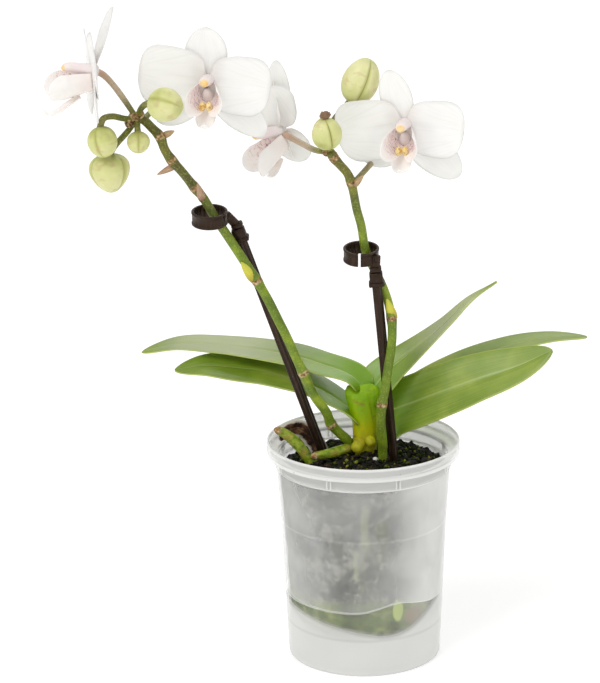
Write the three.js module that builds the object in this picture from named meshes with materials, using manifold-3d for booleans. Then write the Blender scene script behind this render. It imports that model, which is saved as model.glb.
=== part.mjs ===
// A moth orchid with two flower spikes, growing in a frosted, see-through plastic pot.
// Millimetres, +Z up, -Y is the front. The tables measure from the centre of the pot's foot.
import * as THREE from "three";
import { mergeVertices } from "three/addons/utils/BufferGeometryUtils.js";
import Module from "manifold-3d";

const wasm = await Module();
wasm.setup();

// ---------------------------------------------------------------- driving dimensions

const GAP = 0.34; // clearance between two pieces that touch on the real plant

const POT = {
  rimRadius: 45,
  height: 104.8,
  lipBottom: 98.1,
  lipInnerRadius: 43.9,
  collarBottom: 92.4,
  collarRadius: 41,
  bodyTopRadius: 40.5,
  bendHeight: 54,
  bendRadius: 38,
  footRadius: 35.6,
  footWidth: 2.2,
  wall: 1.1,
  floorHeight: 14.6,
  floorRadius: 27,
  drainRadius: 4,
  segments: 36,
};

const COLLAR_RIBS = { pairs: 8, offset: 22.5, spread: 1.35, width: 0.7, proud: 0.5 };

const MIX = {
  level: 91.6,
  mound: 4.6,
  moundRadius: 19,
  bottomRadius: 24,
  shoulder: 27,
  wallClearance: 0.5,
  rings: 6,
  sectors: 24,
};
const CHIPS = { count: 14, spread: 31, length: 9, width: 5.5, thickness: 3, tilt: 0.9, seed: 17 };

// Where the pot's axis stands, from the origin: that lies under the middle of the whole plant's box.
const STAND = [17.636, -0.536, 0];

// Where the plant stands in the pot.
const PLANT = { x: 0, y: 8 };

// The stem's base, wrapped in leaf bases. Levels: height, middle (x, y), half widths across and deep.
const CROWN = {
  sides: 14,
  levels: [
    [84, 0, 8, 4.6, 4.2], [92, 0, 8, 5.8, 5.2], [98, 0.3, 8, 6.1, 5.4], [104, 0.9, 8, 5.8, 5.3],
    [110, 0.9, 8, 6.1, 5.4], [116, 0.4, 8.2, 7, 5.6], [121, -0.1, 8.6, 7.9, 5.7], [125, -0.4, 9, 8.2, 5.4],
    [127.2, -0.4, 9, 7.2, 4.6], [128.4, -0.4, 9, 4.4, 2.8],
  ],
};

// A dead brown leaf base that stands in the mix at the back left.
const HUSK = {
  line: [[-19, 13, 92], [-23, 14.5, 99], [-29, 15.5, 104.4], [-36, 13, 104], [-39, 10, 100.6]],
  halfWidth: 4.4,
  face: [-0.2, -0.95, 0.25],
  fold: 0.35,
  thickness: 1,
};

const LEAF_THICKNESS = 1.5;
const PETAL_THICKNESS = 0.8;

const COLOURS = {
  pot: [0xd9dcd6, 0.35],
  mix: [0x2e241a, 0.95],
  root: [0x8f9a3e, 0.6],
  husk: [0x7a5634, 0.8],
  crown: [0x9aad3c, 0.5],
  leaf: [0x6f9a35, 0.42],
  spike: [0x6f7f36, 0.55],
  bud: [0xb9c877, 0.5],
  petal: [0xf1f1ee, 0.6],
  lip: [0xf0e2dc, 0.55],
  stake: [0x2c2120, 0.45],
  clip: [0x2e2321, 0.42],
};

// Each leaf: centre line from the crown to the tip, half width, the way its upper face looks at
// the base and at the tip, and how far its margins rise above the midrib.
const LEAVES = {
  leaf_left_upper: {
    line: [[-0.4, 9, 125.6], [-3.1, 11, 129.4], [-8.7, 14, 132.4], [-18.6, 19, 134.6],
      [-30.9, 26, 136.5], [-49.5, 32, 138.2], [-68.6, 36, 139.4], [-87.8, 39, 139.4],
      [-105.3, 41, 134.8]],
    halfWidth: 11, root: 0.52, widest: 0.45, face: [[0.35, -0.45, 0.85], [0.05, -0.16, 1]], fold: 0.09,
  },
  leaf_left_lower: {
    line: [[-1.4, 8, 109.3], [-6, 10, 115], [-14.9, 14.5, 120.8], [-24.3, 18.5, 124.7],
      [-35.2, 22, 127.6], [-47.4, 24, 130.3], [-60.2, 25, 131.6], [-73.9, 25.6, 132.5],
      [-88.6, 26, 130.4]],
    halfWidth: 10.3, root: 0.6, widest: 0.62, tip: 1.9, face: [[0.5, -0.3, 0.85], [0.02, -0.42, 1]],
    fold: 0.09,
  },
  leaf_upright: {
    line: [[2.4, 10, 119.4], [7.1, 12, 128.1], [13.2, 13.5, 134.4], [20.3, 15, 139.8],
      [28.7, 16.5, 146.3], [39, 18.5, 154.9], [50.7, 20.5, 166.1], [62.8, 22, 173.8]],
    halfWidth: 9.2, root: 0.85, widest: 0.16, tip: 1.05, face: [[-0.35, -0.9, 0.35], [-0.72, -0.42, 0.6]],
    fold: 0.14,
  },
  leaf_right_back: {
    line: [[3.3, 12, 109.9], [13.7, 17, 117.1], [25.5, 21, 123.1], [39.3, 25, 129.4],
      [55.4, 29, 135.5], [74.4, 33, 140.5], [90.1, 35, 142.5], [106.2, 36, 142.4]],
    halfWidth: 10.3, face: [[-0.3, -0.4, 0.8], [-0.05, -0.08, 1]], fold: 0.1,
  },
  leaf_right_front: {
    line: [[4.7, 11.3, 104.4], [13.1, 10.2, 114.3], [25.2, 5.8, 120.9], [38.1, 1, 127.5], [54, -4, 135],
      [72, -8.5, 142.5], [86.5, -12, 150.4]],
    halfWidth: 13.4, root: 0.88, widest: 0.5, face: [[-0.3, -0.9, 0.4], [-0.3, -0.68, 0.68]], fold: 0.1,
  },
};

// Flower spikes: radius at the foot and tip, centre line, the points of that line where the stem
// has a joint, side stalks to the buds and flowers, dry bracts, and knobs (x, y, z, radius).
const SPIKES = {
  spike_left: {
    radius: [2.3, 2.1],
    line: [[-5.2, 8, 97.9], [-7.5, 5, 102.4], [-11.7, 2, 107.4], [-14.9, 0, 112], [-17.1, -3, 118.9],
      [-22.1, -5, 126.9], [-27.4, -7, 139.1], [-34.5, -8, 156.3], [-38.5, -8.5, 165],
      [-42.9, -9, 174.7], [-47.7, -9.5, 183.8], [-53, -10, 192.5], [-58.6, -10.5, 202],
      [-63, -11, 209.2], [-67.3, -11.5, 216.3], [-71.2, -12, 223.4], [-74.7, -12, 228],
      [-80.4, -11.5, 235.3], [-84.8, -11, 240.3], [-88, -10.5, 245.5], [-89.9, -10, 251.1],
      [-93.5, -9, 255], [-97.4, -8.5, 258.6], [-101.5, -8, 259.4]],
    joints: [3, 6, 10, 16, 18, 20],
    stalks: {
      flower_1: [[-100.5, -8, 259.5], [-106.5, -8, 269], [-110.8, -8, 275], [-114.7, -8, 279.1],
        [-118.8, -8, 281.2]],
      flower_2: [[-97, -8.5, 258.6], [-95, -2, 260], [-91.3, 2.5, 262.5], [-82.2, 4, 269.5],
        [-73.8, 0.5, 275.4], [-69.6, -7, 277.6]],
      bud_1: [[-99, -9, 260], [-98.4, -13, 263.5], [-95.6, -19.5, 267.6], [-91.3, -26.3, 270.4]],
      bud_2: [[-101, -8.5, 259], [-105.5, -10.5, 259.6], [-110.8, -13, 261.2],
        [-114.6, -15.4, 260.6], [-116.2, -16.4, 256.4]],
      bud_3: [[-100.5, -8, 258.5], [-104.3, -7.6, 253.4], [-110.5, -6.6, 246.4], [-114.1, -5.6, 241]],
      bud_4: [[-100, -9, 258.5], [-99.8, -11.5, 256], [-99.4, -14.4, 253.4]],
    },
    bracts: [
      { from: [-48.3, -11.3, 184], to: [-54.6, -13, 193.6], width: 4.6, lift: 0.4 },
      { from: [-71.2, -13.6, 222], to: [-73.2, -16.6, 230.6], width: 3.6, lift: 0.5 },
      { from: [-83, -11.6, 238.4], to: [-91.4, -12.8, 234.4], width: 3, lift: 0.2 },
      { from: [-88.4, -10.4, 251.6], to: [-83.4, -11.4, 254], width: 3, lift: 0.2 },
    ],
    knobs: [[-101.6, -8.4, 259.6, 2.6], [-98.6, -10.2, 261.4, 2.1], [-103.4, -9.8, 257.4, 2.3]],
  },
  spike_right: {
    radius: [2.25, 2],
    line: [[6.6, 2, 86], [8.8, -1.4, 93.6], [8.9, -3.6, 101.8], [8.3, -6.4, 111], [8.8, -8.3, 124.4],
      [10.2, -9.2, 131.4], [11.6, -9.3, 141], [13, -9.2, 150.6], [13.6, -8.4, 157.5],
      [13.4, -7.4, 164.9], [11.5, -5.4, 173.3], [8, -4, 182.4], [4.7, -3.3, 188.9],
      [1.6, -4, 196.6], [-0.3, -5, 208.5], [-2.1, -6, 215.8], [-3.4, -7.5, 223.1],
      [-4.7, -9, 229.5], [-6.4, -10.5, 234], [-9.1, -12, 237.6], [-12.2, -13, 241.5],
      [-13.9, -13, 244.3]],
    joints: [4, 9, 17, 20],
    stalks: {
      flower_3: [[-13, -13, 243], [-16.4, -11.5, 243.8], [-19.6, -7, 243.4], [-22.8, 1, 242.8],
        [-29.7, 14, 243.6], [-36.9, 21.4, 246]],
      flower_4: [[-4.7, -9, 229.5], [-2.6, -4, 229], [0.4, 3, 230.4], [6.5, 9.6, 236],
        [14, 8.4, 247.5], [20, -1.6, 254.4]],
      bud_5: [[-13.4, -13, 243.6], [-14.4, -13.8, 246.2]],
      bud_6: [[-13.2, -12.6, 243.4], [-14.9, -6, 245.4], [-15.6, 1, 249], [-12.2, 6.6, 254.6],
        [-7.2, 7.6, 260], [-4.2, 6.6, 264]],
    },
    bracts: [
      { from: [14.4, -8.6, 164.6], to: [11.2, -8.6, 174.6], width: 4.4, lift: 0.4 },
      { from: [-4, -10.2, 227.6], to: [0.9, -11.2, 232.9], width: 3.2, lift: 0.2 },
    ],
    knobs: [[-15.6, -12.2, 243.8, 1.9], [-12.4, -12.4, 242.6, 2]],
  },
};

// Buds: base and tip of the long axis, greatest radius, and the turn of the three seams.
const BUDS = {
  bud_1: { base: [-92.6, -27, 270.2], tip: [-78.5, -35.4, 269.6], radius: 7.3, turn: 75 },
  bud_2: { base: [-116.3, -16.3, 257.4], tip: [-113.6, -17.6, 243.6], radius: 6.6, turn: 20 },
  bud_3: { base: [-114.2, -5.6, 242.6], tip: [-112.4, -6.6, 224.8], radius: 9, turn: 100, skew: 0.55 },
  bud_4: { base: [-99.2, -14.2, 254.6], tip: [-99.3, -16.6, 245], radius: 5, turn: 50 },
  bud_5: { base: [-14.4, -13.8, 246], tip: [-16.2, -18, 260.4], radius: 6.6, turn: 60 },
  bud_6: { base: [-4.4, 6.8, 262.4], tip: [4.2, 5.2, 282.4], radius: 8.1, turn: 55 },
};

// A tepal lies at an angle round the flower's face (0 to its right, 90 up). Lift is how far it
// tips forward at its root, curl how far it bends forward along its length (degrees).
const PETAL = {
  length: 29.5,
  width: 29.5,
  widest: 0.6,
  root: 0.22,
  tip: 2.6,
  lift: 2,
  curl: -14,
  cup: 0.03,
  offset: 0.5,
};
const SEPAL = {
  length: 29,
  width: 17,
  widest: 0.5,
  root: 0.4,
  tip: 1.85,
  lift: -4,
  curl: -4,
  cup: 0.1,
  offset: -1,
};
const TEPALS = {
  dorsal: { ...SEPAL, angle: 90, length: 26, width: 19, lift: -6, curl: 6, offset: -0.6 },
  petalRight: { ...PETAL, angle: 4 },
  petalLeft: { ...PETAL, angle: 176 },
  sepalRight: { ...SEPAL, angle: -50 },
  sepalLeft: { ...SEPAL, angle: -130 },
};

// Each flower: centre, the way it faces, what differs from the plain form, how far its lip
// droops (degrees) and how much of its full length the lip's tongue has.
const FLOWERS = {
  flower_1: {
    centre: [-119.4, -8, 280.9], facing: [-0.96, -0.22, -0.08],
    tepals: {
      dorsal: { length: 29, width: 19, lift: -27, curl: 6 },
      petalLeft: { angle: 176, length: 27, lift: -6, curl: 4 },
      petalRight: { angle: 18, lift: -2, curl: 8 },
      sepalRight: { angle: -58, length: 24, lift: 8 },
      sepalLeft: { angle: -122, length: 24, lift: 8 },
    },
  },
  flower_2: {
    centre: [-68.2, -8, 275.9], facing: [-0.06, -0.98, -0.13],
    tepals: {
      dorsal: { angle: 91, length: 23.5 },
      petalLeft: { angle: 174, length: 30.5 },
      petalRight: { angle: -9, length: 27.5, width: 28 },
      sepalRight: { angle: -48, length: 36 },
      sepalLeft: { angle: -138, length: 31 },
    },
    tongue: 0.75,
  },
  flower_3: {
    centre: [-37.4, 21, 246.6], facing: [-0.82, -0.46, -0.32],
    tepals: {
      dorsal: { angle: 84, length: 33, width: 11.5, lift: -16, face: [0.6, -0.1, 0.7] },
      petalLeft: { angle: 124, lift: -12, length: 25 },
      petalRight: { angle: 78, lift: 4, curl: -8, length: 24, width: 22, face: [0.8, -0.1, 0.55] },
      sepalRight: { angle: -88, lift: -22, curl: 4, length: 19, width: 15, face: [0.75, -0.1, 0.55] },
      sepalLeft: { angle: -118, length: 18, lift: -8 },
    },
    droop: 15,
    tongue: 0.6,
  },
  flower_4: {
    centre: [19.6, -3, 254.2], facing: [-0.16, -0.96, -0.18],
    tepals: {
      dorsal: { angle: 106, length: 25.5, width: 14.5 },
      petalLeft: { angle: -169, length: 31.5, width: 30 },
      petalRight: { angle: -7, length: 26, width: 28 },
      sepalRight: { angle: -49, length: 35, width: 19 },
      sepalLeft: { angle: -131, length: 28, width: 20, lift: -6 },
    },
    tongue: 0.75,
  },
};

const COLUMN = { line: [[0, 0, -1.5], [0, 1.6, 5], [0, 2.9, 10], [0, 2.9, 13.6]], radius: [3, 2.4] };
const HUB = { size: [3.4, 3.4, 2.6], at: [0, 0, -0.8] };

// The lip: a cup that opens forward and upward and stands higher at its two sides, a tongue in
// front and a pair of calluses between. The cup grows from its first half width and half height
// to its last; front is how far forward its edge lies in the middle and at the lobes.
const LIP = {
  cup: {
    centre: -3.6,
    halfWidth: [3.2, 8.3],
    halfHeight: [4.6, 8.2],
    turn: 128,
    front: [8.5, 21.5],
    lobe: [0.56, 0.5],
    rows: 3,
    columns: 12,
  },
  tongue: {
    line: [[0, -11.2, 6.5], [0, -14.2, 12], [0, -17.2, 18], [0, -17.4, 22], [0, -14.4, 24]],
    halfWidth: 4.5,
    face: [0, 1, 0.1],
  },
  foot: { at: [0, -6.4, 1.6], size: [2.4, 3.4, 2.4] },
  callus: { at: [1.55, -8.4, 10.6], size: [1.5, 2.2, 2.2] },
};

const STAKES = {
  stake_left: { foot: [-14.4, 12.2, 81], head: [-56.4, -5.8, 207.6] },
  stake_right: { foot: [15.4, 1.8, 80.6], head: [6.2, -9.9, 187.6] },
};
const STAKE = {
  radius: 1.95,
  ridge: 0.35,
  pointLength: 9,
  blockSize: [6, 4.8, 5.6],
  collarSize: [7.2, 5.8, 1.8],
};

const CLIPS = {
  clip_left: { centre: [-68.4, -12.75, 214.6], stake: "stake_left" },
  clip_right: { centre: [-0.3, -5.4, 195], stake: "stake_right" },
};
const CLIP = {
  outer: 8.2,
  inner: 6.85,
  height: 6.2,
  lean: 9,
  slit: 1.3,
  slitTurn: 62,
  neckWidth: 4.2,
  neckThickness: 3,
  neckRise: 1.2,
  capSize: [5.4, 4.6, 2.6],
  sectors: 20,
};

const AERIAL_ROOTS = {
  aerial_root_front: {
    radius: 2.5,
    line: [[-3.8, 6, 98.6], [-8, 3, 98.7], [-13.6, 0, 98], [-19.2, -2, 97.5], [-24.3, -3, 96.9]],
  },
  aerial_root_back: {
    radius: 2.8,
    line: [[-22.6, 1, 91], [-25.8, 0.5, 95.2], [-29, 1, 99.5], [-32.7, 2.4, 103.4], [-37.4, 4.5, 106.4],
      [-41.4, 6, 107.6]],
  },
};

// ---------------------------------------------------------------- solids

const vec = (p) => new THREE.Vector3(p[0], p[1], p[2]);
const radians = THREE.MathUtils.degToRad;
const mix = THREE.MathUtils.lerp;

function seededRandom(seed) {
  let state = seed;
  return () => {
    state = (state * 16807) % 2147483647;
    return state / 2147483647;
  };
}

function signedVolume(geometry) {
  const at = geometry.attributes.position;
  const index = geometry.index.array;
  const [a, b, c] = [new THREE.Vector3(), new THREE.Vector3(), new THREE.Vector3()];
  let sum = 0;
  for (let i = 0; i < index.length; i += 3) {
    a.fromBufferAttribute(at, index[i]);
    b.fromBufferAttribute(at, index[i + 1]);
    c.fromBufferAttribute(at, index[i + 2]);
    sum += a.dot(b.cross(c)) / 6;
  }
  return sum;
}

// A closed geometry as a solid that joins and cuts.
function solid(source) {
  const bare = source.clone();
  for (const name of ["normal", "uv"]) {
    bare.deleteAttribute(name);
  }
  const geometry = mergeVertices(bare, 1e-4);
  if (signedVolume(geometry) < 0) {
    const index = geometry.index.array;
    for (let i = 0; i < index.length; i += 3) {
      [index[i], index[i + 1]] = [index[i + 1], index[i]];
    }
  }
  return new wasm.Manifold(new wasm.Mesh({
    numProp: 3,
    vertProperties: Float32Array.from(geometry.attributes.position.array),
    triVerts: Uint32Array.from(geometry.index.array),
  }));
}

function union(solids) {
  return solids.reduce((sum, next) => sum.add(next));
}

function cut(body, tools) {
  return tools.reduce((rest, tool) => rest.subtract(tool), body);
}

// The largest piece of a solid, with loose scraps dropped.
function largest(body) {
  return body.decompose().reduce((best, next) => (next.volume() > best.volume() ? next : best));
}

function geometryOf(body) {
  const mesh = body.getMesh();
  const geometry = new THREE.BufferGeometry();
  geometry.setAttribute("position", new THREE.BufferAttribute(Float32Array.from(mesh.vertProperties), 3));
  geometry.setIndex(new THREE.BufferAttribute(Uint32Array.from(mesh.triVerts), 1));
  return geometry;
}

function curveOf(points) {
  const line = points.map((p) => (p.isVector3 ? p : vec(p)));
  return new THREE.CatmullRomCurve3(line, false, "centripetal");
}

// The point at t, with the two ends of the line moved outward by grow.
function endPoint(curve, t, grow) {
  const outward = (t === 1 ? grow : 0) - (t === 0 ? grow : 0);
  return curve.getPointAt(t).addScaledVector(curve.getTangentAt(t), outward);
}

// A round body along a line: radiusAt(t, angle) gives its section, and both ends close in a point.
function sweep(points, sides, stations, radiusAt, grow = 0) {
  const curve = curveOf(points);
  const frames = curve.computeFrenetFrames(stations, false);
  const positions = [];
  const index = [];
  for (let i = 0; i <= stations; i += 1) {
    const t = i / stations;
    const centre = endPoint(curve, t, grow);
    for (let k = 0; k < sides; k += 1) {
      const angle = (2 * Math.PI * k) / sides;
      const r = radiusAt(t, angle) + grow;
      const p = centre.clone()
        .addScaledVector(frames.normals[i], r * Math.cos(angle))
        .addScaledVector(frames.binormals[i], r * Math.sin(angle));
      positions.push(p.x, p.y, p.z);
    }
  }
  for (let i = 0; i < stations; i += 1) {
    for (let k = 0; k < sides; k += 1) {
      const next = (k + 1) % sides;
      const [a, b] = [i * sides + k, i * sides + next];
      index.push(a, b, b + sides, a, b + sides, a + sides);
    }
  }
  for (const end of [0, 1]) {
    const centre = endPoint(curve, end, grow);
    const first = end * stations * sides;
    const pole = positions.length / 3;
    positions.push(centre.x, centre.y, centre.z);
    for (let k = 0; k < sides; k += 1) {
      const pair = [first + k, first + ((k + 1) % sides)];
      index.push(pole, pair[1 - end], pair[end]);
    }
  }
  return solidFrom(positions, index);
}

function solidFrom(positions, index) {
  const geometry = new THREE.BufferGeometry();
  geometry.setAttribute("position", new THREE.Float32BufferAttribute(positions, 3));
  geometry.setIndex(index);
  return solid(geometry);
}

// A closed sheet of even thickness round a grid of points, split alike on both faces.
function sheet(grid, thickness) {
  const rows = grid.length;
  const columns = grid[0].length;
  const positions = [];
  const index = [];
  const within = (k, count) => THREE.MathUtils.clamp(k, 0, count - 1);
  const at = (i, j) => grid[within(i, rows)][within(j, columns)];
  for (const side of [1, -1]) {
    for (let i = 0; i < rows; i += 1) {
      for (let j = 0; j < columns; j += 1) {
        const along = at(i + 1, j).clone().sub(at(i - 1, j));
        const over = at(i, j + 1).clone().sub(at(i, j - 1));
        const p = along.cross(over).normalize().multiplyScalar((side * thickness) / 2).add(at(i, j));
        positions.push(p.x, p.y, p.z);
      }
    }
  }
  const far = rows * columns;
  const quad = (a, b, c, d) => index.push(a, b, c, a, c, d);
  for (let i = 0; i < rows - 1; i += 1) {
    for (let j = 0; j < columns - 1; j += 1) {
      const a = i * columns + j;
      const c = a + columns + 1;
      quad(a, a + columns, c, a + 1);
      index.push(far + a, far + c, far + a + columns, far + a, far + a + 1, far + c);
    }
  }
  const rim = rimOf(rows, columns);
  rim.forEach((a, k) => {
    const b = rim[(k + 1) % rim.length];
    quad(a, b, b + far, a + far);
  });
  return solidFrom(positions, index);
}

// The border of a grid, as indexes in order round it.
function rimOf(rows, columns) {
  const count = (n, make) => Array.from({ length: n - 1 }, (_, k) => make(k));
  return [
    ...count(columns, (j) => j),
    ...count(rows, (i) => i * columns + columns - 1),
    ...count(columns, (j) => rows * columns - 1 - j),
    ...count(rows, (i) => (rows - 1 - i) * columns),
  ];
}

// Half width of a petal or leaf at t, from its root (0) to its tip (1).
function halfWidthAt(t, { half, root, widest, tip = 2.1 }) {
  const x = t < widest ? (widest - t) / widest : (t - widest) / (1 - widest);
  const swell = (1 - x ** tip) ** (1 / tip);
  const base = t < widest ? root : 0;
  return Math.max(half * (base + (1 - base) * swell), 0.35);
}

// Rows crowd towards the tip, where the outline turns fastest.
const rowAt = (i, rows) => Math.sin((Math.PI / 2) * (i / rows)) ** 0.92;

// A blade along a line: its face looks along faceAt(t); the margins rise by cup times its width.
function blade({ line, form, faceAt, cup, thickness, rows, columns, grow = 0 }) {
  const curve = curveOf(line);
  const grid = [];
  for (let i = 0; i <= rows; i += 1) {
    const t = rowAt(i, rows);
    const tangent = curve.getTangentAt(t);
    const across = tangent.clone().cross(faceAt(t)).normalize();
    const face = across.clone().cross(tangent).normalize();
    const half = halfWidthAt(t, form) + grow;
    const centre = endPoint(curve, t, grow);
    const row = [];
    for (let j = 0; j <= columns; j += 1) {
      const s = (2 * j) / columns - 1;
      const rise = cup * half * Math.abs(s) ** 1.5;
      row.push(centre.clone().addScaledVector(across, s * half).addScaledVector(face, rise));
    }
    grid.push(row);
  }
  return sheet(grid, thickness + 2 * grow);
}

function boxSolid(size, position, quaternion = new THREE.Quaternion()) {
  const matrix = new THREE.Matrix4().compose(position, quaternion, new THREE.Vector3(1, 1, 1));
  return solid(new THREE.BoxGeometry(...size).applyMatrix4(matrix));
}

function ellipsoid(size, position, grow = 0) {
  const radii = size.map((r) => r + grow);
  return solid(new THREE.SphereGeometry(1, 6, 4).scale(...radii).translate(...position));
}

// ---------------------------------------------------------------- pot and growing mix

// Radius of the pot's outer face at a height.
function potRadius(z) {
  if (z < POT.bendHeight) {
    return mix(POT.footRadius, POT.bendRadius, z / POT.bendHeight);
  }
  const t = (z - POT.bendHeight) / (POT.collarBottom - POT.bendHeight);
  return mix(POT.bendRadius, POT.bodyTopRadius, Math.min(t, 1));
}

function potSolid() {
  const { rimRadius: rim, height: top, wall, lipBottom, lipInnerRadius, collarRadius } = POT;
  const outline = [
    [POT.footRadius, 0],
    [POT.bendRadius, POT.bendHeight],
    [POT.bodyTopRadius, POT.collarBottom],
    [collarRadius, POT.collarBottom + 0.3],
    [collarRadius, lipBottom],
    [rim - 0.4, lipBottom + 0.2],
    [rim, top - 0.7],
    [rim - 0.5, top],
    [lipInnerRadius, top - 0.2],
    [lipInnerRadius - 0.3, lipBottom + 1.5],
    [POT.bodyTopRadius - wall, lipBottom + 1.1],
    [POT.bodyTopRadius - wall, POT.collarBottom],
    [POT.bendRadius - wall, POT.bendHeight],
    [POT.footRadius - wall, 2.4],
    [POT.footRadius - POT.footWidth - 0.2, 1.9],
    [POT.floorRadius + 1.2, POT.floorHeight - 1.6],
    [POT.floorRadius, POT.floorHeight],
    [POT.drainRadius, POT.floorHeight],
    [POT.drainRadius, POT.floorHeight - wall],
    [POT.floorRadius - 0.2, POT.floorHeight - wall],
    [POT.footRadius - POT.footWidth - 1.5, 1],
    [POT.footRadius - POT.footWidth, 0],
  ];
  const loop = [...outline, outline[0]].map(([r, z]) => new THREE.Vector2(r, z));
  const shell = solid(new THREE.LatheGeometry(loop, POT.segments).rotateX(Math.PI / 2));
  return union([shell, ...collarRibs()]);
}

function collarRibs() {
  const { pairs, offset, spread, width, proud } = COLLAR_RIBS;
  const height = POT.lipBottom - POT.collarBottom - 0.4;
  const ribs = [];
  for (let k = 0; k < pairs; k += 1) {
    for (const side of [-1, 1]) {
      const angle = radians(offset + (360 * k) / pairs + side * spread);
      const radius = POT.collarRadius - 0.3 + proud / 2;
      const middle = POT.collarBottom + 0.5 + height / 2;
      const place = new THREE.Vector3(radius * Math.cos(angle), radius * Math.sin(angle), middle);
      const turn = new THREE.Quaternion().setFromAxisAngle(new THREE.Vector3(0, 0, 1), angle);
      ribs.push(boxSolid([proud + 0.6, width, height], place, turn));
    }
  }
  return ribs;
}

function mixHeight(x, y) {
  const away = ((x - PLANT.x) ** 2 + (y - PLANT.y) ** 2) / MIX.moundRadius ** 2;
  const rough = 0.9 * Math.sin(0.55 * x + 1.1) * Math.cos(0.47 * y) + 0.6 * Math.sin(1.13 * x - 0.9 * y);
  return MIX.level + MIX.mound * Math.exp(-away) + rough;
}

// The plug of bark that the pot holds: rough on top, round below where the root ball narrows.
function mixSolid() {
  const { rings, sectors, shoulder, bottomRadius } = MIX;
  const floor = POT.floorHeight + GAP;
  const inner = (z) => potRadius(z) - POT.wall - MIX.wallClearance;
  const wallRows = [POT.collarBottom - 3, POT.bendHeight, shoulder];
  const belowRows = [[0.97, 21.5], [0.86, 17.4]];
  const positions = [0, 0, mixHeight(0, 0)];
  const rows = [];
  for (let i = 1; i <= rings; i += 1) {
    const r = (inner(MIX.level - 2) * i) / rings;
    rows.push((a) => [r, mixHeight(r * Math.cos(a), r * Math.sin(a))]);
  }
  wallRows.forEach((z) => rows.push(() => [inner(z), z]));
  belowRows.forEach(([share, z]) => rows.push(() => [share * inner(z), z]));
  rows.push(() => [bottomRadius, floor]);
  rows.forEach((row) => {
    for (let k = 0; k < sectors; k += 1) {
      const a = (2 * Math.PI * k) / sectors;
      const [r, z] = row(a);
      positions.push(r * Math.cos(a), r * Math.sin(a), z);
    }
  });
  const bottom = positions.length / 3;
  positions.push(0, 0, floor);
  const index = [];
  const at = (i, k) => 1 + i * sectors + (k % sectors);
  for (let k = 0; k < sectors; k += 1) {
    index.push(0, at(0, k), at(0, k + 1));
    for (let i = 0; i < rows.length - 1; i += 1) {
      const [a, c] = [at(i, k), at(i + 1, k + 1)];
      index.push(a, at(i + 1, k), c, a, c, at(i, k + 1));
    }
    index.push(at(rows.length - 1, k), bottom, at(rows.length - 1, k + 1));
  }
  return union([solidFrom(positions, index), ...barkChips()]);
}

function barkChips() {
  const { count, spread, length, width, thickness, tilt, seed } = CHIPS;
  const random = seededRandom(seed);
  const tilted = () => tilt * (random() - 0.5);
  const chips = [];
  while (chips.length < count) {
    const angle = 2 * Math.PI * random();
    const r = spread * Math.sqrt(random());
    const [x, y] = [r * Math.cos(angle), r * Math.sin(angle)];
    const size = [length, width, thickness].map((side) => side * (0.7 + 0.5 * random()));
    const lie = new THREE.Euler(tilted(), tilted(), Math.PI * random(), "ZYX");
    const turn = new THREE.Quaternion().setFromEuler(lie);
    chips.push(boxSolid(size, new THREE.Vector3(x, y, mixHeight(x, y) + 0.4), turn));
  }
  return chips;
}

// ---------------------------------------------------------------- leaves, crown and roots

// The leaf bases wrap the stem in one closed fan that widens upward.
function crownSolid(grow = 0) {
  const { levels, sides } = CROWN;
  const positions = [];
  const index = [];
  levels.forEach(([height, x, y, across, deep], i) => {
    const outward = (i >= levels.length - 2 ? grow : 0) - (i === 0 ? grow : 0);
    for (let k = 0; k < sides; k += 1) {
      const a = (2 * Math.PI * k) / sides;
      positions.push(x + (across + grow) * Math.cos(a), y + (deep + grow) * Math.sin(a), height + outward);
    }
  });
  const at = (i, k) => i * sides + (k % sides);
  for (let k = 0; k < sides; k += 1) {
    for (let i = 0; i < levels.length - 1; i += 1) {
      const [a, c] = [at(i, k), at(i + 1, k + 1)];
      index.push(a, at(i, k + 1), c, a, c, at(i + 1, k));
    }
    if (k > 0 && k < sides - 1) {
      const top = levels.length - 1;
      index.push(at(0, 0), at(0, k + 1), at(0, k), at(top, 0), at(top, k), at(top, k + 1));
    }
  }
  return solidFrom(positions, index);
}

function leafSolid(name, grow = 0) {
  const { line, halfWidth, root = 0.5, widest = 0.6, tip: point = 1.75, face, fold } = LEAVES[name];
  const [base, tip] = face.map((f) => vec(f).normalize());
  return blade({
    line,
    form: { half: halfWidth, root, widest, tip: point },
    faceAt: (t) => base.clone().lerp(tip, Math.min(1.6 * t, 1)).normalize(),
    cup: fold,
    thickness: LEAF_THICKNESS,
    rows: 9,
    columns: 4,
    grow,
  });
}

function aerialRoot(name, grow = 0) {
  const { line, radius } = AERIAL_ROOTS[name];
  const radiusAt = (t) => radius * (1 - 0.1 * t) * Math.sqrt(Math.max(1 - t ** 14, 0.1));
  return sweep(line, 7, 8, radiusAt, grow);
}

function huskSolid(grow = 0) {
  const { line, halfWidth, face, fold, thickness } = HUSK;
  return blade({
    line,
    form: { half: halfWidth, root: 0.8, widest: 0.35 },
    faceAt: () => vec(face),
    cup: fold,
    thickness,
    rows: 7,
    columns: 4,
    grow,
  });
}

// ---------------------------------------------------------------- spikes and buds

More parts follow.
